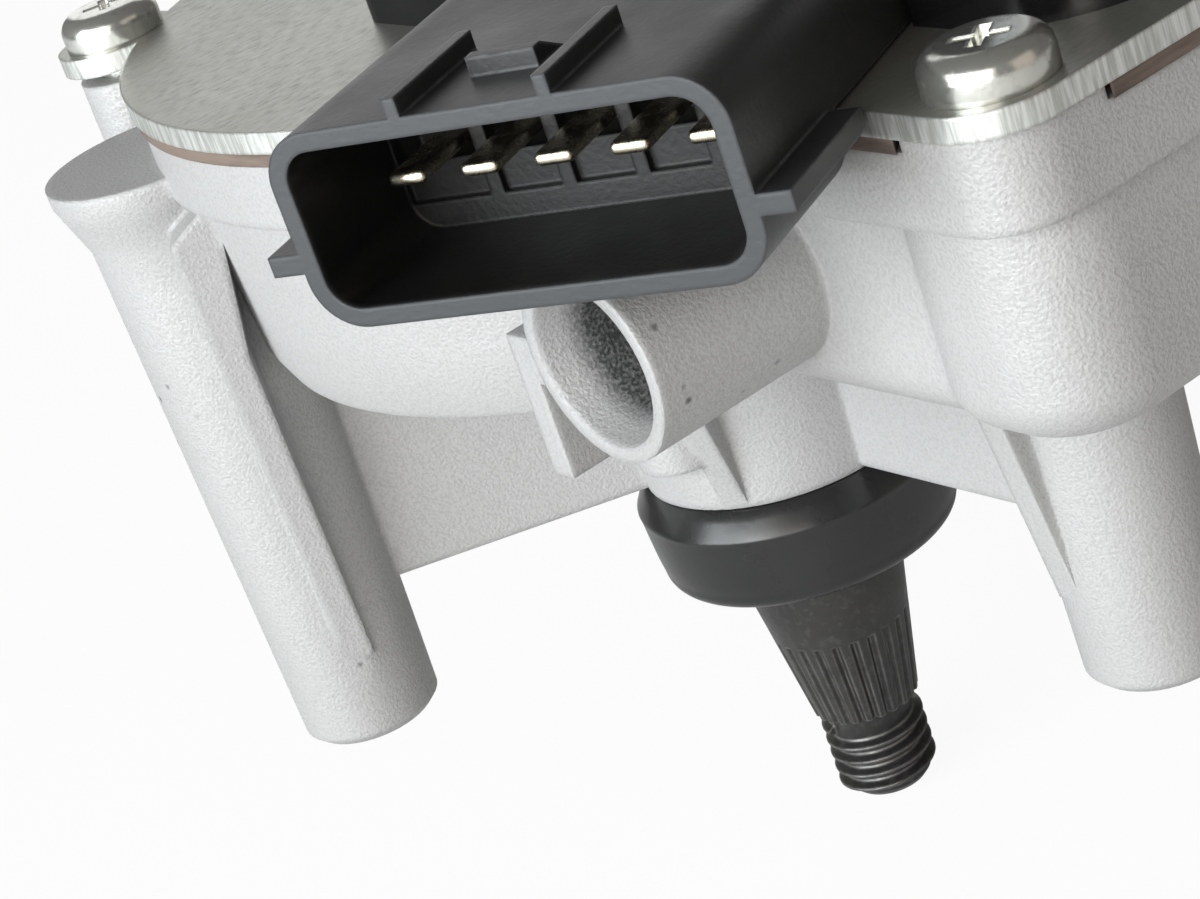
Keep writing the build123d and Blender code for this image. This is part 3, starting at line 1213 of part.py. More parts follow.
with BuildPart() as motor_screws:
    with BuildSketch(MOTOR.offset(CAN_START_X + CAN_WALL)):
        with Locations(*MOTOR_SCREWS):
            RegularPolygon(MOTOR_SCREW_HEAD_R, 6)
    extrude(amount=MOTOR_SCREW_HEAD_H)
    with BuildSketch(MOTOR.offset(CAN_START_X + CAN_WALL)):
        with Locations(*MOTOR_SCREWS):
            Circle(MOTOR_SCREW_R)
    extrude(amount=-MOTOR_SCREW_LENGTH)
motor_screws.part.label = "motor_screws"
export_step(motor_screws.part, "parts/motor_screws.step")
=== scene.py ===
# %% [markdown]
# # A windscreen wiper motor
# The gearbox, motor and connector were modelled as solids, so this scene starts from them. It gives
# each piece the finish of its real material, and replaces five whose small detail is easier to make
# as a mesh: the threaded shaft end, the cover screws, the casting with its ribs and corner, the
# rubber cap and the connector's blades.

# %% Load the solids
import math

import bmesh
import bpy
from mathutils import Matrix, Vector


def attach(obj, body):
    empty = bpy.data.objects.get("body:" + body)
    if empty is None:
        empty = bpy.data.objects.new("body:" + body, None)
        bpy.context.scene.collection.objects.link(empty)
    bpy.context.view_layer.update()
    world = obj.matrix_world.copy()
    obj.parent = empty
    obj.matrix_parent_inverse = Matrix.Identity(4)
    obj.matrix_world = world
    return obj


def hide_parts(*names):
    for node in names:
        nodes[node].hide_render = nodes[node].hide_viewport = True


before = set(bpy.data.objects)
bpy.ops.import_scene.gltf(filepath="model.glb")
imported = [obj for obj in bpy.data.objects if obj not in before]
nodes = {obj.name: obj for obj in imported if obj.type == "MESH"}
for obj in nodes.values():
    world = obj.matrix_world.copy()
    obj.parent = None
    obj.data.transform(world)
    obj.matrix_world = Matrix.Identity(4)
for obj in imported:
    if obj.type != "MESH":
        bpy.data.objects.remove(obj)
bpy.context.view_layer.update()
MM = 0.001
print("pieces loaded:", len(nodes))

# %% [markdown]
# ## Camera
# A long lens close to level, tilted down a little and rolled, looks along the gearbox from its
# connector end. The camera has no shift, so it can be moved round the motor without change.

# %% Camera
CAMERA_PLACE = (-0.11451, -0.17477, 0.10349)
CAMERA_TURN = (65.566, 17.864, -37.559)  # degrees
LENS = 91.47
SENSOR = 36.0

camera_data = bpy.data.cameras.new("camera")
camera = bpy.data.objects.new("camera", camera_data)
bpy.context.scene.collection.objects.link(camera)
bpy.context.scene.camera = camera
camera.location = CAMERA_PLACE
camera.rotation_euler = [math.radians(a) for a in CAMERA_TURN]
camera_data.sensor_width = SENSOR
camera_data.lens = LENS
camera_data.clip_start = 0.01
print("camera distance:", round(camera.location.length, 4), "m")

# %% [markdown]
# ## Floor and light
# Castings are lit by large soft lamps: a small lamp would burn out on the metal and leave the black
# rubber without form. The floor is pale, and to the camera it is nearly white paper, with the
# motor's shadow still on it. Reflections see it as it is lit.

# %% Floor
FLOOR_Z = -0.0208
FLOOR_REACH = 2.5
PAPER_COLOUR = (0.86, 0.86, 0.86, 1)
PAPER_GLOW = 0.93  # share of plain white in what the camera sees


def link(obj):
    bpy.context.scene.collection.objects.link(obj)
    return obj


def plain_material(name):
    """An empty node material with its output node."""
    material = bpy.data.materials.new(name)
    material.use_nodes = True
    material.node_tree.nodes.clear()
    output = material.node_tree.nodes.new("ShaderNodeOutputMaterial")
    return material, material.node_tree, output


floor_mesh = bpy.data.meshes.new("floor")
shape = bmesh.new()
bmesh.ops.create_grid(shape, x_segments=1, y_segments=1, size=FLOOR_REACH)
bmesh.ops.translate(shape, vec=(0, 0, FLOOR_Z), verts=shape.verts)
shape.to_mesh(floor_mesh)
shape.free()
floor = link(bpy.data.objects.new("floor", floor_mesh))

paper, tree, output = plain_material("pale_paper")
diffuse = tree.nodes.new("ShaderNodeBsdfDiffuse")
diffuse.inputs["Color"].default_value = PAPER_COLOUR
glow = tree.nodes.new("ShaderNodeEmission")
glow.inputs["Color"].default_value = (1, 1, 1, 1)
path = tree.nodes.new("ShaderNodeLightPath")
part = tree.nodes.new("ShaderNodeMath")
part.operation = "MULTIPLY"
part.inputs[1].default_value = PAPER_GLOW
tree.links.new(path.outputs["Is Camera Ray"], part.inputs[0])
mix = tree.nodes.new("ShaderNodeMixShader")
tree.links.new(part.outputs[0], mix.inputs["Fac"])
tree.links.new(diffuse.outputs[0], mix.inputs[1])
tree.links.new(glow.outputs[0], mix.inputs[2])
tree.links.new(mix.outputs[0], output.inputs["Surface"])
floor_mesh.materials.append(paper)
print("floor at", FLOOR_Z)

# %% World and lamps
FILL = 0.13  # strength of the room's light; the camera sees 1
ROOM_COLOUR = (1.0, 0.97, 0.945, 1)
GEARBOX_MIDDLE = (0.0, -0.02, 0.03)
LAMPS = (  # name, place, size, power, colour
    ("left_lamp", (-0.90, -0.03, 0.17), 0.8, 17.0, (0.92, 0.975, 1.0)),
    ("key_lamp", (-0.74, -0.48, 0.30), 0.7, 5.5, (1.0, 0.95, 0.91)),
    ("front_lamp", (0.30, -0.90, 0.30), 0.7, 0.7, (1.0, 0.84, 0.72)),
    ("back_lamp", (0.55, 0.75, 0.36), 0.8, 2.0, (1.0, 1.0, 1.0)),
)

world = bpy.data.worlds.new("studio")
bpy.context.scene.world = world
world.use_nodes = True
back = world.node_tree.nodes["Background"]
back.inputs["Color"].default_value = ROOM_COLOUR
path = world.node_tree.nodes.new("ShaderNodeLightPath")
strength = world.node_tree.nodes.new("ShaderNodeMapRange")
strength.inputs["To Min"].default_value = FILL
strength.inputs["To Max"].default_value = 1.0
world.node_tree.links.new(path.outputs["Is Camera Ray"], strength.inputs["Value"])
world.node_tree.links.new(strength.outputs["Result"], back.inputs["Strength"])


def lamp(name, place, aim, size, power, colour):
    """A square soft box at a place, pointed at another."""
    data = bpy.data.lights.new(name, "AREA")
    data.shape = "SQUARE"
    data.size = size
    data.energy = power
    data.color = colour
    obj = link(bpy.data.objects.new(name, data))
    obj.location = place
    obj.rotation_euler = (Vector(aim) - Vector(place)).to_track_quat("-Z", "Y").to_euler()


for name, place, size, power, colour in LAMPS:
    lamp(name, place, GEARBOX_MIDDLE, size, power, colour)
bpy.context.scene.view_settings.view_transform = "Standard"
print("lamps:", len(LAMPS))

# %% [markdown]
# ## Shader groups
# Four effects are used by more than one finish, so each is a node group built once: the skin of a
# die casting, with painted shade in the tube's bore, drawn or plated streaks, the fine grain of
# moulded plastic, and lighter edges that are wear and, on some pieces, a painted glint.

# %% Group helpers
def new_group(name, inputs, outputs):
    """A shader node group with float, colour or vector sockets."""
    group = bpy.data.node_groups.new(name, "ShaderNodeTree")
    kinds = {"f": "NodeSocketFloat", "c": "NodeSocketColor", "v": "NodeSocketVector"}
    for label, kind, value in inputs:
        socket = group.interface.new_socket(name=label, in_out="INPUT", socket_type=kinds[kind])
        socket.default_value = value
    for label, kind in outputs:
        group.interface.new_socket(name=label, in_out="OUTPUT", socket_type=kinds[kind])
    start = group.nodes.new("NodeGroupInput")
    end = group.nodes.new("NodeGroupOutput")
    return group, start, end


def add_noise(tree, vector, scale, detail=4.0, roughness=0.55):
    """A noise texture; scale is a number or a socket."""
    noise = tree.nodes.new("ShaderNodeTexNoise")
    noise.inputs["Detail"].default_value = detail
    noise.inputs["Roughness"].default_value = roughness
    tree.links.new(vector, noise.inputs["Vector"])
    if isinstance(scale, (int, float)):
        noise.inputs["Scale"].default_value = scale
    else:
        tree.links.new(scale, noise.inputs["Scale"])
    return noise.outputs["Fac"]


def add_range(tree, value, low, high, to_low, to_high):
    """Map a value from one range to another, clamped."""
    node = tree.nodes.new("ShaderNodeMapRange")
    ends = {"From Min": low, "From Max": high, "To Min": to_low, "To Max": to_high}
    for label, number in ends.items():
        if isinstance(number, (int, float)):
            node.inputs[label].default_value = number
        else:
            tree.links.new(number, node.inputs[label])
    tree.links.new(value, node.inputs["Value"])
    return node.outputs["Result"]


def add_math(tree, operation, first, second):
    """One maths node between two numbers or sockets."""
    node = tree.nodes.new("ShaderNodeMath")
    node.operation = operation
    for index, number in enumerate((first, second)):
        if isinstance(number, (int, float)):
            node.inputs[index].default_value = number
        else:
            tree.links.new(number, node.inputs[index])
    return node.outputs[0]


def add_mix(tree, factor, first, second):
    """Mix two colours, given as values or sockets."""
    node = tree.nodes.new("ShaderNodeMix")
    node.data_type = "RGBA"
    for label, value in ((0, factor), (6, first), (7, second)):
        if isinstance(value, (int, float, tuple)):
            node.inputs[label].default_value = value
        else:
            tree.links.new(value, node.inputs[label])
    return node.outputs[2]


print("group helpers ready")

# %% Skin of a die casting
# Blasted aluminium: a sandy surface, a few pits, soft clouds, and painted shade in the tube's bore.
TUBE_AXIS = (-0.0365, 0.040)
BORE_SHADE_FADE = (0.0041, 0.0047)  # from the tube's axis
FUNNEL_SHADE_FADE = (-0.034, -0.0325)  # along the tube
casting_group, start, end = new_group(
    "casting_skin",
    [("Vector", "v", (0, 0, 0)), ("Colour", "c", (0.6, 0.6, 0.6, 1)),
     ("Grain", "f", 1800.0), ("Clouds", "f", 0.1)],
    [("Colour", "c"), ("Roughness", "f"), ("Height", "f")],
)
grain = add_noise(casting_group, start.outputs["Vector"], start.outputs["Grain"], 1.0, 0.5)
coarse = add_noise(casting_group, start.outputs["Vector"], 700.0, 2.0, 0.5)
clouds = add_noise(casting_group, start.outputs["Vector"], 45.0, 3.0, 0.5)
pits = casting_group.nodes.new("ShaderNodeTexVoronoi")
pits.inputs["Scale"].default_value = 420.0
casting_group.links.new(start.outputs["Vector"], pits.inputs["Vector"])
pit_mask = add_range(casting_group, pits.outputs["Distance"], 0.06, 0.14, 1.0, 0.0)
rare = add_range(casting_group, clouds, 0.58, 0.61, 0.0, 1.0)
pit_mask = add_math(casting_group, "MULTIPLY", pit_mask, rare)
shade = add_range(casting_group, clouds, 0.3, 0.7, 0.0, 1.0)
shade = add_math(casting_group, "MULTIPLY", shade, start.outputs["Clouds"])
speck = add_range(casting_group, grain, 0.36, 0.56, 0.16, 0.0)
shade = add_math(casting_group, "ADD", shade, speck)
colour = add_mix(casting_group, shade, start.outputs["Colour"], (0.20, 0.19, 0.185, 1))
pit_shade = add_math(casting_group, "MULTIPLY", pit_mask, 0.8)
colour = add_mix(casting_group, pit_shade, colour, (0.05, 0.05, 0.05, 1))

# painted shade: past the tube's funnel the bore is painted almost black, speckled by the grain
place = casting_group.nodes.new("ShaderNodeSeparateXYZ")
casting_group.links.new(start.outputs["Vector"], place.inputs[0])
squares = []
for axis, centre in zip((1, 2), TUBE_AXIS):
    offset = add_math(casting_group, "SUBTRACT", place.outputs[axis], centre)
    squares.append(add_math(casting_group, "POWER", offset, 2.0))
reach = add_math(casting_group, "SQRT", add_math(casting_group, "ADD", *squares), 0.0)
inside = add_range(casting_group, reach, *BORE_SHADE_FADE, 1.0, 0.0)
past_funnel = add_range(casting_group, place.outputs[0], *FUNNEL_SHADE_FADE, 0.0, 1.0)
inside = add_math(casting_group, "MULTIPLY", inside, past_funnel)
bore_shade_speckle = add_range(casting_group, grain, 0.40, 0.75, 0.97, 0.55)
inside = add_math(casting_group, "MULTIPLY", inside, bore_shade_speckle)
colour = add_mix(casting_group, inside, colour, (0.035, 0.038, 0.038, 1))
casting_group.links.new(colour, end.inputs["Colour"])
casting_group.links.new(add_range(casting_group, grain, 0.3, 0.7, 0.70, 0.52), end.inputs["Roughness"])
height = add_math(casting_group, "ADD", grain, add_math(casting_group, "MULTIPLY", coarse, 0.25))
height = add_math(casting_group, "SUBTRACT", height, add_math(casting_group, "MULTIPLY", pit_mask, 0.6))
casting_group.links.new(height, end.inputs["Height"])
print("group:", casting_group.name)

# %% Streaks of rolled, turned or plated metal
streak_group, start, end = new_group(
    "metal_streaks",
    [("Vector", "v", (0, 0, 0)), ("Colour", "c", (0.6, 0.6, 0.6, 1)), ("Tint", "c", (0.5, 0.5, 0.4, 1)),
     ("Scale", "f", 900.0), ("Roughness", "f", 0.35)],
    [("Colour", "c"), ("Roughness", "f"), ("Height", "f")],
)
streaks = add_noise(streak_group, start.outputs["Vector"], start.outputs["Scale"], 5.0, 0.65)
blotch = add_noise(streak_group, start.outputs["Vector"], 60.0, 5.0, 0.6)
amount = add_range(streak_group, blotch, 0.35, 0.7, 0.0, 0.9)
colour = add_mix(streak_group, amount, start.outputs["Colour"], start.outputs["Tint"])
dark = add_range(streak_group, streaks, 0.52, 0.75, 0.0, 0.35)
colour = add_mix(streak_group, dark, colour, (0.12, 0.12, 0.12, 1))
streak_group.links.new(colour, end.inputs["Colour"])
spread = add_range(streak_group, streaks, 0.3, 0.7, -0.08, 0.10)
roughness = add_math(streak_group, "ADD", start.outputs["Roughness"], spread)
streak_group.links.new(roughness, end.inputs["Roughness"])
streak_group.links.new(streaks, end.inputs["Height"])
print("group:", streak_group.name)

# %% Grain of moulded plastic and rubber
mould_group, start, end = new_group(
    "mould_grain",
    [("Vector", "v", (0, 0, 0)), ("Colour", "c", (0.05, 0.05, 0.05, 1)),
     ("Dust", "c", (0.2, 0.2, 0.2, 1)),
     ("Scale", "f", 2500.0), ("Roughness", "f", 0.4), ("Dusting", "f", 0.1)],
    [("Colour", "c"), ("Roughness", "f"), ("Height", "f")],
)
fine = add_noise(mould_group, start.outputs["Vector"], start.outputs["Scale"], 3.0, 0.5)
flow = add_noise(mould_group, start.outputs["Vector"], 90.0, 5.0, 0.6)
dust = add_range(mould_group, flow, 0.45, 0.75, 0.0, 1.0)
dust = add_math(mould_group, "MULTIPLY", dust, start.outputs["Dusting"])
colour = add_mix(mould_group, dust, start.outputs["Colour"], start.outputs["Dust"])
mould_group.links.new(colour, end.inputs["Colour"])
spread = add_range(mould_group, flow, 0.3, 0.7, -0.05, 0.10)
roughness = add_math(mould_group, "ADD", start.outputs["Roughness"], spread)
mould_group.links.new(roughness, end.inputs["Roughness"])
height = add_math(mould_group, "ADD", fine, add_math(mould_group, "MULTIPLY", flow, 0.5))
mould_group.links.new(height, end.inputs["Height"])
print("group:", mould_group.name)

# %% Wear along edges, and on some pieces a painted glint
# Compares the rounded normal of a Bevel node with the true one: they differ only near an edge.
wear_and_glint_group, start, end = new_group(
    "edge_wear_and_glint",
    [("Vector", "v", (0, 0, 0)), ("Rounded", "v", (0, 0, 1)), ("Normal", "v", (0, 0, 1)),
     ("Colour", "c", (0.5, 0.5, 0.5, 1)), ("WornAndGlint", "c", (0.8, 0.8, 0.8, 1)), ("Amount", "f", 0.5)],
    [("Colour", "c"), ("Mask", "f")],
)
dot = wear_and_glint_group.nodes.new("ShaderNodeVectorMath")
dot.operation = "DOT_PRODUCT"
wear_and_glint_group.links.new(start.outputs["Rounded"], dot.inputs[0])
wear_and_glint_group.links.new(start.outputs["Normal"], dot.inputs[1])
edge = add_range(wear_and_glint_group, dot.outputs["Value"], 0.80, 0.99, 1.0, 0.0)
broken = add_noise(wear_and_glint_group, start.outputs["Vector"], 700.0, 4.0, 0.6)
broken = add_range(wear_and_glint_group, broken, 0.35, 0.6, 0.3, 1.0)
mask = add_math(wear_and_glint_group, "MULTIPLY", edge, broken)
mask = add_math(wear_and_glint_group, "MULTIPLY", mask, start.outputs["Amount"])
colour = add_mix(wear_and_glint_group, mask, start.outputs["Colour"], start.outputs["WornAndGlint"])
wear_and_glint_group.links.new(colour, end.inputs["Colour"])
wear_and_glint_group.links.new(mask, end.inputs["Mask"])
print("group:", wear_and_glint_group.name)

# %% [markdown]
# ## Finishes
# Each finish is one Principled shader fed by a skin group, then by the edge wear, which on some
# pieces is partly a painted glint. The Bevel node rounds the corners of the light only, as the small
# radii of the real castings and mouldings do.

# %% One function builds every finish
COAT_ROUGHNESS = 0.08
BEVEL_SAMPLES = 4


def finish(name, group, values, metallic=0.0, bump=0.02, depth=0.0002, edge=0.0004,
           worn_and_glint=None, amount=0.5, stretch=(1, 1, 1), coat=0.0):
    """Material from a skin group, with soft edges lightened by rubbing, and on some pieces by a painted
    glint.
    """
    material, tree, output = plain_material(name)
    shader = tree.nodes.new("ShaderNodeBsdfPrincipled")
    tree.links.new(shader.outputs[0], output.inputs["Surface"])
    shader.inputs["Metallic"].default_value = metallic
    if coat:
        shader.inputs["Coat Weight"].default_value = coat
        shader.inputs["Coat Roughness"].default_value = COAT_ROUGHNESS
    coords = tree.nodes.new("ShaderNodeTexCoord")
    mapping = tree.nodes.new("ShaderNodeMapping")
    mapping.inputs["Scale"].default_value = stretch
    tree.links.new(coords.outputs["Object"], mapping.inputs["Vector"])
    skin = tree.nodes.new("ShaderNodeGroup")
    skin.node_tree = group
    tree.links.new(mapping.outputs[0], skin.inputs["Vector"])
    for label, value in values.items():
        skin.inputs[label].default_value = value
    rounded = tree.nodes.new("ShaderNodeBevel")
    rounded.samples = BEVEL_SAMPLES
    rounded.inputs["Radius"].default_value = edge
    geometry = tree.nodes.new("ShaderNodeNewGeometry")
    colour = skin.outputs["Colour"]
    if worn_and_glint:
        wear_and_glint = tree.nodes.new("ShaderNodeGroup")
        wear_and_glint.node_tree = wear_and_glint_group
        tree.links.new(coords.outputs["Object"], wear_and_glint.inputs["Vector"])
        tree.links.new(rounded.outputs[0], wear_and_glint.inputs["Rounded"])
        tree.links.new(geometry.outputs["Normal"], wear_and_glint.inputs["Normal"])
        tree.links.new(colour, wear_and_glint.inputs["Colour"])
        wear_and_glint.inputs["WornAndGlint"].default_value = worn_and_glint
        wear_and_glint.inputs["Amount"].default_value = amount
        colour = wear_and_glint.outputs["Colour"]
    tree.links.new(colour, shader.inputs["Base Color"])
    tree.links.new(skin.outputs["Roughness"], shader.inputs["Roughness"])
    relief = tree.nodes.new("ShaderNodeBump")
    relief.inputs["Strength"].default_value = bump
    relief.inputs["Distance"].default_value = depth
    tree.links.new(skin.outputs["Height"], relief.inputs["Height"])
    tree.links.new(rounded.outputs[0], relief.inputs["Normal"])
    tree.links.new(relief.outputs[0], shader.inputs["Normal"])
    return material


cast_aluminium = finish(
    "cast_aluminium", casting_group, {"Colour": (0.43, 0.43, 0.43, 1), "Grain": 4300.0, "Clouds": 0.12},
    metallic=0.35, bump=0.6, depth=0.0001, edge=0.0007, worn_and_glint=(0.54, 0.54, 0.54, 1), amount=0.5,
)
print("finish:", cast_aluminium.name)

# %% Metal finishes
def metal(name, colour, tint, roughness=0.35, scale=900.0, metallic=1.0, bump=0.08,
          stretch=(1, 1, 1), worn_and_glint=None, amount=0.5, edge=0.0003):
    """A rolled, turned, plated or ground metal."""
    return finish(
        name, streak_group,
        {"Colour": (*colour, 1), "Tint": (*tint, 1), "Scale": scale, "Roughness": roughness},
        metallic=metallic, bump=bump, depth=0.0001, edge=edge, worn_and_glint=worn_and_glint, amount=amount,
        stretch=stretch,
    )


metals = {
    "cover_plate": metal("zinc_sheet", (0.41, 0.415, 0.385), (0.34, 0.35, 0.31), 0.38, 2400.0, 0.8,
                         0.06,
                         (0.35, 1, 1), (0.85, 0.85, 0.82, 1), 0.6),
    "cover_screws": metal("zinc_screw", (0.74, 0.74, 0.70), (0.62, 0.63, 0.58), 0.2, 1500.0, 0.9, 0.1),
    "connector_pins": metal("tinned_brass", (0.80, 0.75, 0.62), (0.70, 0.62, 0.46), 0.24, 900.0, 1.0,
                            0.05),
    # the shaft's lighter edges are partly rubbed oxide and partly a painted glint along its ridges and
    # crests
    "output_shaft": metal("black_oxide_steel", (0.022, 0.022, 0.023), (0.05, 0.048, 0.045), 0.36,
                          1600.0, 0.5, 0.3,
                          (1, 1, 1), (0.30, 0.29, 0.28, 1), 0.8),
    "armature_shaft": metal("ground_steel", (0.60, 0.60, 0.61), (0.52, 0.52, 0.54), 0.25, 900.0, 1.0,
                            0.08, (3, 1, 1)),
    "rotor_core": metal("lacquered_laminations", (0.20, 0.20, 0.21), (0.28, 0.26, 0.24), 0.45, 700.0,
                        0.8, 0.6,
                        (12, 0.3, 0.3)),
    "rotor_windings": metal("enamelled_copper", (0.55, 0.20, 0.08), (0.36, 0.13, 0.05), 0.3, 1300.0,
                            0.8, 0.7,
                            (0.15, 3, 3)),
    "commutator": metal("turned_copper", (0.76, 0.42, 0.28), (0.55, 0.28, 0.18), 0.3, 1200.0, 1.0, 0.3,
                        (8, 0.4, 0.4)),
    "shaft_bushes": metal("sintered_bronze", (0.46, 0.34, 0.20), (0.36, 0.27, 0.17), 0.5, 2200.0, 0.85,
                          0.5),
    "worm_end_bush": metal("oiled_bronze", (0.44, 0.32, 0.19), (0.33, 0.25, 0.16), 0.42, 2200.0, 0.85,
                           0.5),
    "rear_bush": metal("porous_bronze", (0.48, 0.36, 0.22), (0.38, 0.28, 0.18), 0.5, 2400.0, 0.85,
                       0.5),
    "park_contacts": metal("spring_bronze", (0.66, 0.46, 0.24), (0.56, 0.36, 0.18), 0.3, 900.0, 1.0,
                           0.1, (0.2, 1, 1)),
    "park_ring": metal("copper_track", (0.74, 0.38, 0.24), (0.56, 0.27, 0.17), 0.32, 800.0, 1.0, 0.2),
    "shaft_clip": metal("blued_spring_steel", (0.16, 0.17, 0.19), (0.22, 0.20, 0.18), 0.35, 900.0, 0.9,
                        0.15),
    "thrust_washers": metal("ground_washer", (0.56, 0.56, 0.57), (0.46, 0.46, 0.48), 0.3, 900.0, 1.0,
                            0.12),
    "bearing_outer_ring": metal("bearing_steel", (0.68, 0.68, 0.70), (0.60, 0.60, 0.63), 0.16, 700.0,
                                1.0, 0.04, (4, 1, 1)),
    "bearing_inner_ring": metal("bearing_steel_inner", (0.66, 0.66, 0.68), (0.58, 0.58, 0.61), 0.18,
                                700.0, 1.0, 0.04, (4, 1, 1)),
    "bearing_balls": metal("polished_balls", (0.76, 0.76, 0.78), (0.70, 0.70, 0.73), 0.06, 600.0, 1.0,
                           0.02),
    "brush_springs": metal("spring_wire", (0.50, 0.50, 0.52), (0.42, 0.42, 0.44), 0.3, 1200.0, 1.0,
                           0.1),
    "choke_coils": metal("wound_choke", (0.50, 0.19, 0.08), (0.34, 0.12, 0.05), 0.3, 1500.0, 0.8, 0.8,
                         (9, 0.3, 0.3)),
    "motor_screws": metal("zinc_hexagon", (0.70, 0.70, 0.66), (0.56, 0.58, 0.50), 0.28, 1200.0, 0.9,
                          0.12,
                          (1, 1, 1), (0.82, 0.82, 0.80, 1), 0.5),
    "motor_can": metal("painted_can", (0.018, 0.018, 0.019), (0.03, 0.03, 0.031), 0.32, 1800.0, 0.0,
                       0.25,
                       (1, 1, 1), (0.16, 0.16, 0.16, 1), 0.25, 0.0008),
}
print("metal finishes:", len(metals))

# %% Plastic, rubber and fibre finishes
def moulded(name, colour, dust, roughness=0.4, scale=2500.0, dusting=0.1, bump=0.15,
            worn_and_glint=None, amount=0.5, edge=0.0003, coat=0.0, stretch=(1, 1, 1)):
    """A moulded plastic, rubber, ceramic or fibre."""
    return finish(
        name, mould_group,
        {"Colour": (*colour, 1), "Dust": (*dust, 1), "Scale": scale,
         "Roughness": roughness, "Dusting": dusting},
        metallic=0.0, bump=bump, depth=0.00008, edge=edge, worn_and_glint=worn_and_glint, amount=amount, coat=coat,
        stretch=stretch,
    )


mouldings = {
    "rubber_cap": moulded("black_rubber", (0.013, 0.013, 0.013), (0.034, 0.034, 0.034), 0.25, 1200.0,
                          0.25, 0.15,
                          (0.05, 0.05, 0.05, 1), 0.3, 0.0003),
    "connector_housing": moulded("grey_black_plastic", (0.020, 0.0205, 0.021), (0.034, 0.034, 0.034),
                                 0.42, 2600.0, 0.3, 0.3,
                                 (0.16, 0.17, 0.18, 1), 0.9, 0.0003),
    "terminal_cover": moulded("gloss_black_plastic", (0.008, 0.008, 0.009), (0.03, 0.03, 0.03), 0.14,
                              1500.0, 0.15, 0.1,
                              (0.06, 0.06, 0.06, 1), 0.3, 0.0006, 0.4),
    "cover_gasket": moulded("fibre_gasket", (0.16, 0.122, 0.10), (0.035, 0.027, 0.023), 0.85, 500.0,
                            1.0, 1.0,
                            stretch=(1, 1, 9)),
    "worm_wheel": moulded("wheel_resin", (0.72, 0.70, 0.60), (0.60, 0.57, 0.46), 0.38, 1500.0, 0.4,
                          0.1),
    "thrust_disc": moulded("thrust_resin", (0.66, 0.62, 0.50), (0.52, 0.48, 0.38), 0.4, 1500.0, 0.4,
                           0.1),
    "magnets": moulded("ferrite", (0.055, 0.055, 0.06), (0.10, 0.10, 0.11), 0.55, 1800.0, 0.6, 0.5),
    "brush_holder": moulded("holder_resin", (0.10, 0.055, 0.03), (0.16, 0.10, 0.06), 0.45, 1600.0, 0.4,
                            0.25),
    "brushes": moulded("graphite", (0.03, 0.03, 0.032), (0.08, 0.08, 0.085), 0.5, 2200.0, 0.6, 0.5),
}
print("moulded finishes:", len(mouldings))

# %% [markdown]
# ## Painted light and shade, and a second finish, on one piece
# Two pieces get a second colour. The connector has painted light on the rim of its mouth and
# painted shade, almost black, deep in its socket; the cover's sheared edge is bright with fine
# upright lines. A mask from the place or the normal picks the second colour, so the piece stays whole.

# %% Second colours by place
MASK_FADE = 0.0003


def second_colour(material, mask, colour):
    """Mix another colour into a finish where the mask is 1."""
    tree = material.node_tree
    shader = next(node for node in tree.nodes if node.type == "BSDF_PRINCIPLED")
    first = shader.inputs["Base Color"].links[0].from_socket
    tree.links.new(add_mix(tree, mask, first, colour), shader.inputs["Base Color"])


def box_mask(tree, middle, half, turn):
    """1 inside a box in object space that is turned about Z, fading over 0.3 mm."""
    coords = tree.nodes.new("ShaderNodeTexCoord")
    mapping = tree.nodes.new("ShaderNodeMapping")
    mapping.inputs["Rotation"].default_value = (0, 0, -turn)
    tree.links.new(coords.outputs["Object"], mapping.inputs["Vector"])
    place = tree.nodes.new("ShaderNodeSeparateXYZ")
    tree.links.new(mapping.outputs[0], place.inputs[0])
    beyond = None
    for axis in range(3):
        offset = add_math(tree, "SUBTRACT", place.outputs[axis], middle[axis] * MM)
        offset = add_math(tree, "ABSOLUTE", offset, 0.0)
        offset = add_math(tree, "SUBTRACT", offset, half[axis] * MM)
        beyond = offset if beyond is None else add_math(tree, "MAXIMUM", beyond, offset)
    return add_range(tree, beyond, -MASK_FADE, 0.0, 1.0, 0.0)


PLUG_ANGLE = math.radians(27.0)
# painted light on the rim of the mouth, lighter than the plastic, and painted shade, almost black, deep
# in the socket
PLUG_PAINTED_LIGHT_AND_SHADE = (  # middle and half size in millimetres, colour
    ((-57.0, -21.5, 54.0), (0.35, 20.0, 12.0), (0.036, 0.039, 0.043, 1)),  # rim of the mouth
    ((-51.3, -21.5, 54.0), (5.5, 13.1, 4.9), (0.004, 0.004, 0.004, 1)),  # inside the socket
)
plastic = mouldings["connector_housing"]
for middle, half, colour in PLUG_PAINTED_LIGHT_AND_SHADE:
    second_colour(plastic, box_mask(plastic.node_tree, middle, half, PLUG_ANGLE), colour)

sheet = metals["cover_plate"]
tree = sheet.node_tree
facing = tree.nodes.new("ShaderNodeSeparateXYZ")
tree.links.new(tree.nodes.new("ShaderNodeNewGeometry").outputs["True Normal"], facing.inputs[0])
upright = add_range(tree, add_math(tree, "ABSOLUTE", facing.outputs[2], 0.0), 0.3, 0.6, 1.0, 0.0)
mapping = tree.nodes.new("ShaderNodeMapping")
mapping.inputs["Scale"].default_value = (1, 1, 0.08)
tree.links.new(tree.nodes.new("ShaderNodeTexCoord").outputs["Object"], mapping.inputs["Vector"])
lines = add_range(tree, add_noise(tree, mapping.outputs[0], 3000.0, 2.0), 0.38, 0.62, 0.0, 1.0)
second_colour(sheet, upright, add_mix(tree, lines, (0.46, 0.47, 0.44, 1), (0.72, 0.74, 0.72, 1)))
print("finishes with a second colour: 2")

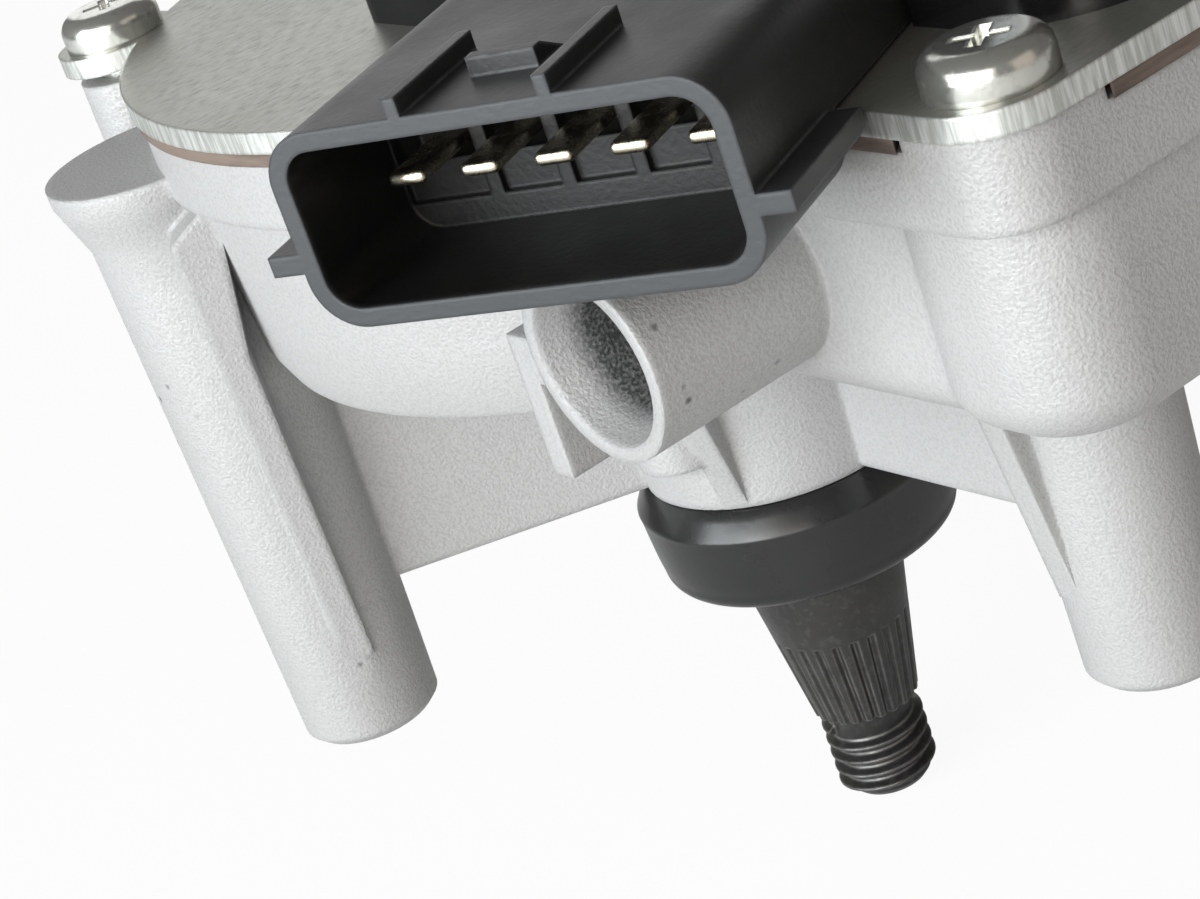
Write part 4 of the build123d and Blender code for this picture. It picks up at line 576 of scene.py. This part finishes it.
# %% Paint every solid
finishes = {"gear_housing": cast_aluminium, **metals, **mouldings}
for name, obj in nodes.items():
    for index in range(max(1, len(obj.data.materials))):
        if len(obj.data.materials) == 0:
            obj.data.materials.append(finishes[name])
        else:
            obj.data.materials[index] = finishes[name]
print("without a finish:", sorted(set(nodes) - set(finishes)))

# %% [markdown]
# ## Shaft end
# The solid carries the thread at its outer size. Here the shaft is copied, cut off above the
# thread, and gets a core with the real M8 ridge. A ridge is a small profile spun with a rise for
# each step, which is how a lathe tool leaves it.

# %% Helpers for new pieces
def open_copy(node):
    """A bmesh copy of a solid's mesh with its doubled vertices merged."""
    shape = bmesh.new()
    shape.from_mesh(nodes[node].data)
    bmesh.ops.remove_doubles(shape, verts=shape.verts, dist=1e-6)
    return shape


def shade_by_angle(mesh, angle):
    """Smooth faces, sharp edges above an angle in degrees, and none of the solid's stored normals."""
    stored = mesh.attributes.get("custom_normal")
    if stored:
        mesh.attributes.remove(stored)
    sharp = mesh.attributes.get("sharp_edge")
    if sharp:
        for edge in sharp.data:
            edge.value = False
    mesh.shade_smooth()
    mesh.set_sharp_from_angle(angle=math.radians(angle))


def make_piece(name, shape, material, body, smooth_angle=40.0):
    """Turn a bmesh into an object that rides on a body."""
    mesh = bpy.data.meshes.new(name)
    shape.to_mesh(mesh)
    shape.free()
    mesh.materials.append(material)
    piece = link(bpy.data.objects.new(name, mesh))
    shade_by_angle(mesh, smooth_angle)
    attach(piece, body)
    print(name, "faces:", len(mesh.polygons))
    return piece


def turn_about_z(shape, verts, angle):
    """Turn some of a shape's vertices about the output axis, by an angle in radians."""
    bmesh.ops.rotate(shape, cent=(0, 0, 0), matrix=Matrix.Rotation(angle, 3, "Z"), verts=verts)


def turned_profile(shape, points, steps):
    """Spin (radius, height) points in millimetres once round the output axis."""
    verts = [shape.verts.new((radius * MM, 0, height * MM)) for radius, height in points]
    edges = [shape.edges.new(pair) for pair in zip(verts[:-1], verts[1:])]
    bmesh.ops.spin(shape, geom=verts + edges, axis=(0, 0, 1), cent=(0, 0, 0), steps=steps,
                   angle=math.tau, use_merge=True)
    bmesh.ops.remove_doubles(shape, verts=shape.verts, dist=1e-7)


print("piece helpers ready")

# %% Threaded shaft end
THREAD_TOP = -13.8
THREAD_END = -20.4
THREAD_PITCH = 1.25
CORE_R = 3.32
CREST_R = 4.0
CUT_Z = -13.0
NECK_R = 3.4
END_R = (2.9, 2.7)  # at the chamfer and at the end face
RUN_OUT = 1.0  # plain length left at the end of the ridge
STEPS_A_TURN = 40

shaft = open_copy("output_shaft")
geometry = shaft.verts[:] + shaft.edges[:] + shaft.faces[:]
bmesh.ops.bisect_plane(
    shaft, geom=geometry, plane_co=(0, 0, CUT_Z * MM), plane_no=(0, 0, 1), clear_inner=True,
)
turned_profile(shaft, [
    (NECK_R, CUT_Z), (NECK_R, THREAD_TOP + 0.1), (CORE_R, THREAD_TOP - 0.1),
    (CORE_R, THREAD_END + 0.5), (END_R[0], THREAD_END + 0.05), (END_R[1], THREAD_END),
    (0.0, THREAD_END),
], 64)

# the ridge: a 60 degree tooth that starts at the neck and is spun down to the end
turns = (THREAD_TOP - THREAD_END - RUN_OUT) / THREAD_PITCH
steps = int(turns * STEPS_A_TURN)
ridge = [(CORE_R - 0.05, 0.0), (CREST_R, 0.42), (CREST_R, 0.56), (CORE_R - 0.05, 0.98)]
verts = [shaft.verts.new((radius * MM, 0, (THREAD_END + height) * MM)) for radius, height in ridge]
edges = [shaft.edges.new(pair) for pair in zip(verts, verts[1:] + verts[:1])]
bmesh.ops.contextual_create(shaft, geom=verts)
result = bmesh.ops.spin(
    shaft, geom=verts + edges, axis=(0, 0, 1), cent=(0, 0, 0), steps=steps,
    angle=math.tau * steps / STEPS_A_TURN, dvec=(0, 0, THREAD_PITCH * MM / STEPS_A_TURN),
)
last = [element for element in result["geom_last"] if isinstance(element, bmesh.types.BMVert)]
bmesh.ops.contextual_create(shaft, geom=last)
bmesh.ops.recalc_face_normals(shaft, faces=shaft.faces)
shaft_piece = make_piece("output_shaft_threaded", shaft, metals["output_shaft"], "output", 35.0)
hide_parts("output_shaft")

# %% [markdown]
# ## Cover screws
# Pan heads with a cross recess. The recess is a cutter of two crossed, tapered blades, taken out
# with a Boolean: cutting is how the punch forms it, and it keeps the head's own round shape.

# %% Screws with a cross recess
HEAD_TOP = 55.0
SCREW_PLACES = ((25.07, 29.88), (-25.07, 29.88), (-19.9, -59.2), (33.0, -59.2))
RECESS_TURNS = (20.0, 65.0, 35.0, 10.0)
RECESS_SIZE = (4.4, 0.95, 3.0)
RECESS_TAPER = (0.45, 0.6, 1.0)

cutter = bmesh.new()
for (x, y), turn in zip(SCREW_PLACES, RECESS_TURNS):
    for quarter in (0, 90):
        blade = bmesh.ops.create_cube(cutter, size=MM)["verts"]
        bmesh.ops.scale(cutter, vec=RECESS_SIZE, verts=blade)
        foot = [v for v in blade if v.co.z < 0]
        bmesh.ops.scale(cutter, vec=RECESS_TAPER, verts=foot)
        turn_about_z(cutter, blade, math.radians(turn + quarter))
        bmesh.ops.translate(cutter, vec=(x * MM, y * MM, HEAD_TOP * MM), verts=blade)
cutter_mesh = bpy.data.meshes.new("recess_cutter")
cutter.to_mesh(cutter_mesh)
cutter.free()
cutter_object = link(bpy.data.objects.new("recess_cutter", cutter_mesh))


def combine(piece, tool, operation):
    """Cut the tool's shape out of the piece, or join it on, and throw the tool away."""
    cut = piece.modifiers.new("combine", "BOOLEAN")
    cut.operation = operation
    cut.solver = "EXACT"
    cut.use_self = True
    cut.object = tool
    bpy.context.view_layer.update()
    evaluated = piece.evaluated_get(bpy.context.evaluated_depsgraph_get())
    carved = bpy.data.meshes.new_from_object(evaluated)
    piece.modifiers.clear()
    piece.data = carved
    bpy.data.objects.remove(tool)
    shade_by_angle(carved, 30.0)
    print(piece.name, operation.lower(), "faces:", len(carved.polygons))


screws = open_copy("cover_screws")
screws_piece = make_piece("cover_screws_crossed", screws, metals["cover_screws"], "gearbox")
combine(screws_piece, cutter_object, "DIFFERENCE")
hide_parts("cover_screws")

# %% [markdown]
# ## Ribs and corner of the casting
# The ribs on the feet's flanks run on up to the rim in the casting, where the solid stops them at the
# block. The corner that holds a cover screw is filled out by a wedge, because the solid's screw hole
# comes up to its rounded surface. Both are joined onto a copy of the casting, as they are one metal.

# %% Casting with its ribs and corner
RIB_FEET = (30.0, 150.0)
RIB_FACE = 36.0  # from the output axis
RIB_LOW = (33.5, 9.58, 2.2)  # height, half width, thickness
RIB_HIGH = (45.5, 10.5, 4.0)
RIB_SLOPE = 2.5
CORNER = (-17.0, -56.5)
WEDGE_R = (4.5, 6.004)
WEDGE_Z = (41.2, 45.45)
WEDGE_ANGLES = (204.0, 242.0)
WEDGE_STEPS = 14

casting = bmesh.new()
for angle in RIB_FEET:
    rib = bmesh.ops.create_cube(casting, size=1.0)["verts"]
    for vert in rib:
        height, half, thick = RIB_HIGH if vert.co.z > 0 else RIB_LOW
        if vert.co.z > 0 and vert.co.x > 0:
            height -= RIB_SLOPE
        out = RIB_FACE if vert.co.x > 0 else RIB_FACE - thick
        vert.co = Vector((out * MM, math.copysign(half, vert.co.y) * MM, height * MM))
    turn_about_z(casting, rib, math.radians(angle))

span = WEDGE_ANGLES[1] - WEDGE_ANGLES[0]
angles = [WEDGE_ANGLES[0] + span * i / WEDGE_STEPS for i in range(WEDGE_STEPS + 1)]
outline = [(WEDGE_R[1], a) for a in angles] + [(WEDGE_R[0], a) for a in reversed(angles)]
wedge = casting.faces.new([
    casting.verts.new((
        (CORNER[0] + r * math.cos(math.radians(a))) * MM,
        (CORNER[1] + r * math.sin(math.radians(a))) * MM,
        WEDGE_Z[0] * MM,
    ))
    for r, a in outline
])
raised = bmesh.ops.extrude_face_region(casting, geom=[wedge], use_keep_orig=True)["geom"]
top = [element for element in raised if isinstance(element, bmesh.types.BMVert)]
bmesh.ops.translate(casting, vec=(0, 0, (WEDGE_Z[1] - WEDGE_Z[0]) * MM), verts=top)
bmesh.ops.recalc_face_normals(casting, faces=casting.faces)
added_mesh = bpy.data.meshes.new("casting_added")
casting.to_mesh(added_mesh)
casting.free()
added = link(bpy.data.objects.new("casting_added", added_mesh))
housing = open_copy("gear_housing")
casting_piece = make_piece("gear_housing_cast", housing, cast_aluminium, "gearbox", 30.0)
combine(casting_piece, added, "UNION")
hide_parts("gear_housing")

# %% [markdown]
# ## Rubber cap
# A soft moulding with a lip that folds down over the boss and a rolled lower edge. It is one
# profile spun round the shaft, with enough points for the light to run softly over it.

# %% Rubber cap
def arc(middle, radius, first, last, count):
    """Points (radius, height) of an arc; angles in degrees from the outward direction."""
    return [
        (middle[0] + radius * math.cos(math.radians(a)), middle[1] + radius * math.sin(math.radians(a)))
        for a in [first + (last - first) * i / (count - 1) for i in range(count)]
    ]


cap = bmesh.new()
cap_profile = [
    (9.3, 10.2), (10.5, 10.15), (10.85, 9.95), (11.3, 9.3), (11.75, 8.6), (11.95, 8.25),
    *arc((11.75, 8.0), 0.3, 40, -30, 4), (11.98, 7.6),
    (11.85, 6.0), (11.7, 4.4), (11.55, 3.4),
    *arc((10.35, 3.0), 1.15, 8, -88, 9), (9.6, 1.8), (7.6, 1.8), (6.6, 1.85), (6.3, 2.1),
    (6.3, 3.4), (9.3, 3.4), (9.3, 10.2),
]
turned_profile(cap, cap_profile, 128)
bmesh.ops.recalc_face_normals(cap, faces=cap.faces)
cap_piece = make_piece("rubber_cap_moulded", cap, mouldings["rubber_cap"], "gearbox", 60.0)
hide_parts("rubber_cap")

# %% [markdown]
# ## Blades of the connector
# Stamped blades with coined tips: each is a box, and the edges of its tip and sides are rounded so that
# the mating terminal slides on. It takes the place of the plain chamfered blade.

# %% Connector blades
BLADE_ROW = (-12.2, -16.85, -21.5, -26.15, -30.8)
BLADE_X = -35.8
BLADE_Z = 54.3
BLADE_SIZE = (31.6, 2.3, 0.8)
BLADE_ROUND = 0.3
blades = bmesh.new()
for side in BLADE_ROW:
    blade = bmesh.ops.create_cube(blades, size=MM)["verts"]
    bmesh.ops.scale(blades, vec=BLADE_SIZE, verts=blade)
    edges = [e for e in blades.edges if e.verts[0] in blade and any(v.co.x < 0 for v in e.verts)]
    rounded = bmesh.ops.bevel(
        blades, geom=edges, offset=BLADE_ROUND * MM, segments=3, profile=0.5,
        affect="EDGES", material=-1,
    )
    blade = list({v for v in blade if v.is_valid} | set(rounded["verts"]))
    bmesh.ops.translate(blades, vec=(BLADE_X * MM, side * MM, BLADE_Z * MM), verts=blade)
turn_about_z(blades, blades.verts, PLUG_ANGLE)
blades_piece = make_piece("connector_blades", blades, metals["connector_pins"], "gearbox", 50.0)
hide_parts("connector_pins")
